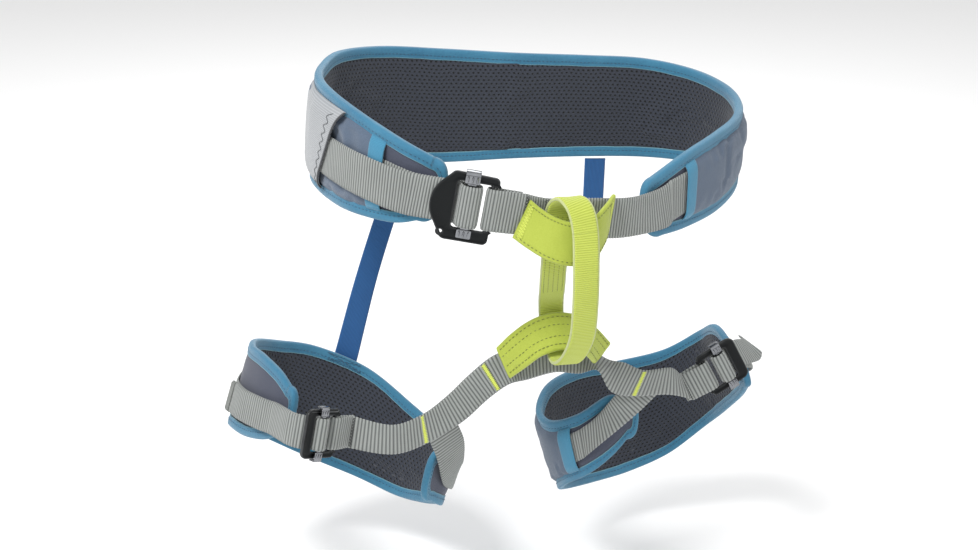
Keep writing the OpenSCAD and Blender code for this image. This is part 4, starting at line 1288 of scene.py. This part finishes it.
def slider(x, bar_half, bar_width, end, end_half, thick, z, hooks):
    """Chrome slider: flat bar under the roll, ends with raised ridges hooked over the arms."""
    soup = Soup()
    plate_shape(soup, rounded([(x - bar_width / 2, -bar_half, 1), (x + bar_width / 2, -bar_half, 1),
                               (x + bar_width / 2, bar_half, 1), (x - bar_width / 2, bar_half, 1)], 4), [], z,
                z + thick, 0.5)
    for sign in (-1, 1):
        lo, hi = sorted((sign * (end[0]), sign * (end[1])))
        plate_shape(soup, rounded([(x - end_half, lo, 1.4), (x + end_half, lo, 1.4), (x + end_half, hi, 1.4),
                                   (x - end_half, hi, 1.4)], 5), [], z - 0.05, z + thick + 0.5, 0.55)
        for q in (-0.62, 0, 0.62):
            ridge = np.array([[x + q * end_half, y, z + thick + 0.45]
                              for y in np.linspace(lo + 1, hi - 1, 6)])
            soup.tube(ridge, 0.75, 8)
    for sign, start in hooks:
        lo, hi = sorted((sign * (end[1] - 1), sign * (start + 1.3)))
        plate_shape(soup, rounded([(x - end_half, lo, 0.4), (x + end_half, lo, 0.4), (x + end_half, hi, 1),
                                   (x - end_half, hi, 1)], 4), [], z + 0.3, z + thick + 0.4, 0.5)
        lo, hi = sorted((sign * start, sign * (start + 1.3)))
        plate_shape(soup, rounded([(x - end_half, lo, 0.5), (x + end_half, lo, 0.5), (x + end_half, hi, 0.5),
                                   (x - end_half, hi, 0.5)], 4), [], -0.7, z + thick, 0.4)
    return soup


for name, B, outline, opening, holes, bar, bodies, dims in (
        ("waist_buckle", WAIST_ADJUSTER, WAIST_OUTLINE, WAIST_OPENING, [HOLE], 37,
         ("waist_adjuster", "waist_slider_bar"),
         (-15, 18, 6.4, (17.5, 24.5), 5.5, 2, PLATE + 0.3, [(1, 25.6)])),
        ("left_leg_buckle", LEFT_ADJUSTER, LEG_OUTLINE, LEG_OPENING, [], 28,
         ("left_adjuster", "left_slider_bar"),
         (-14, 14, 4.4, (13.7, 19.3), 4, 1.8, PLATE + 0.3, [(1, 19.8), (-1, 19.8)])),
        ("right_leg_buckle", RIGHT_ADJUSTER, LEG_OUTLINE, LEG_OPENING, [], 28,
         ("right_adjuster", "right_slider_bar"),
         (-14, 14, 4.4, (13.7, 19.3), 4, 1.8, PLATE + 0.3, [(1, 19.8), (-1, 19.8)]))):
    plate_soup = Soup()
    plate_shape(plate_soup, outline, [opening] + holes, 0, PLATE, 0.45, 0.35)
    y = np.linspace(-bar / 2, bar / 2, 9)
    plate_soup.tube(np.stack([0 * y, y, 0 * y + 1.2], 1), BAR_R, 20)
    plate_object = metal(name + "_plate", B, plate_soup, BLACK, bodies[0])
    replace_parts(plate_object, name + "_frame")
    slider_object = metal(name + "_slider_bar", B, slider(*dims), CHROME, bodies[1])
    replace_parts(slider_object, name + "_slider")

# ---------------------------------------------------------------- floor and light

lowest = min(corner[2] for corner in cad_box) - 0.05
floor_mesh = bpy.data.meshes.new("floor")
size = 12
floor_mesh.from_pydata([(-size, -size, lowest), (size, -size, lowest), (size, size, lowest),
                        (-size, size, lowest)],
                       [], [(0, 1, 2, 3)])
floor = bpy.data.objects.new("floor", floor_mesh)
scene.collection.objects.link(floor)
paper = bpy.data.materials.new("pale_floor")
paper.use_nodes = True
paper.node_tree.nodes["Principled BSDF"].inputs["Base Color"].default_value = (0.97, 0.97, 0.97, 1)
paper.node_tree.nodes["Principled BSDF"].inputs["Roughness"].default_value = 0.9
floor_mesh.materials.append(paper)

world = bpy.data.worlds.new("studio")
world.use_nodes = True
world.node_tree.nodes["Background"].inputs[0].default_value = (1, 1, 1, 1)
world.node_tree.nodes["Background"].inputs[1].default_value = 0.72
scene.world = world


def area_light(name, place, target, size, power):
    data = bpy.data.lights.new(name, "AREA")
    data.shape, data.size, data.energy = "DISK", size, power
    lamp = bpy.data.objects.new(name, data)
    lamp.location = place
    lamp.rotation_euler = (Vector(place) - Vector(target)).to_track_quat("Z", "Y").to_euler()
    scene.collection.objects.link(lamp)


area_light("key", (-1.0, -0.9, 1.5), VIEW_TARGET, 0.7, 34)
area_light("fill", (1.5, -1.2, 0.6), VIEW_TARGET, 1.2, 6)
area_light("back", (0.3, 1.6, 1.2), VIEW_TARGET, 1.0, 12)


def dark_flag(name, place, width, height):
    """Black card outside the view, which gives the metal something dark to mirror."""
    mesh = bpy.data.meshes.new(name)
    x, y = width / 2, height / 2
    mesh.from_pydata([(-x, -y, 0), (x, -y, 0), (x, y, 0), (-x, y, 0)], [], [(0, 1, 2, 3)])
    card = bpy.data.materials.new(name)
    card.use_nodes = True
    card.node_tree.nodes["Principled BSDF"].inputs["Base Color"].default_value = (0.01, 0.01, 0.01, 1)
    mesh.materials.append(card)
    obj = bpy.data.objects.new(name, mesh)
    obj.location = place
    obj.rotation_euler = (Vector(place) - VIEW_TARGET).to_track_quat("Z", "Y").to_euler()
    scene.collection.objects.link(obj)


dark_flag("flag_above", (-0.2, -1.9, 1.5), 1.6, 0.5)
dark_flag("flag_left", (-1.9, -1.3, 0.1), 0.5, 1.4)
dark_flag("flag_right", (1.3, -1.7, 0.1), 0.45, 1.4)
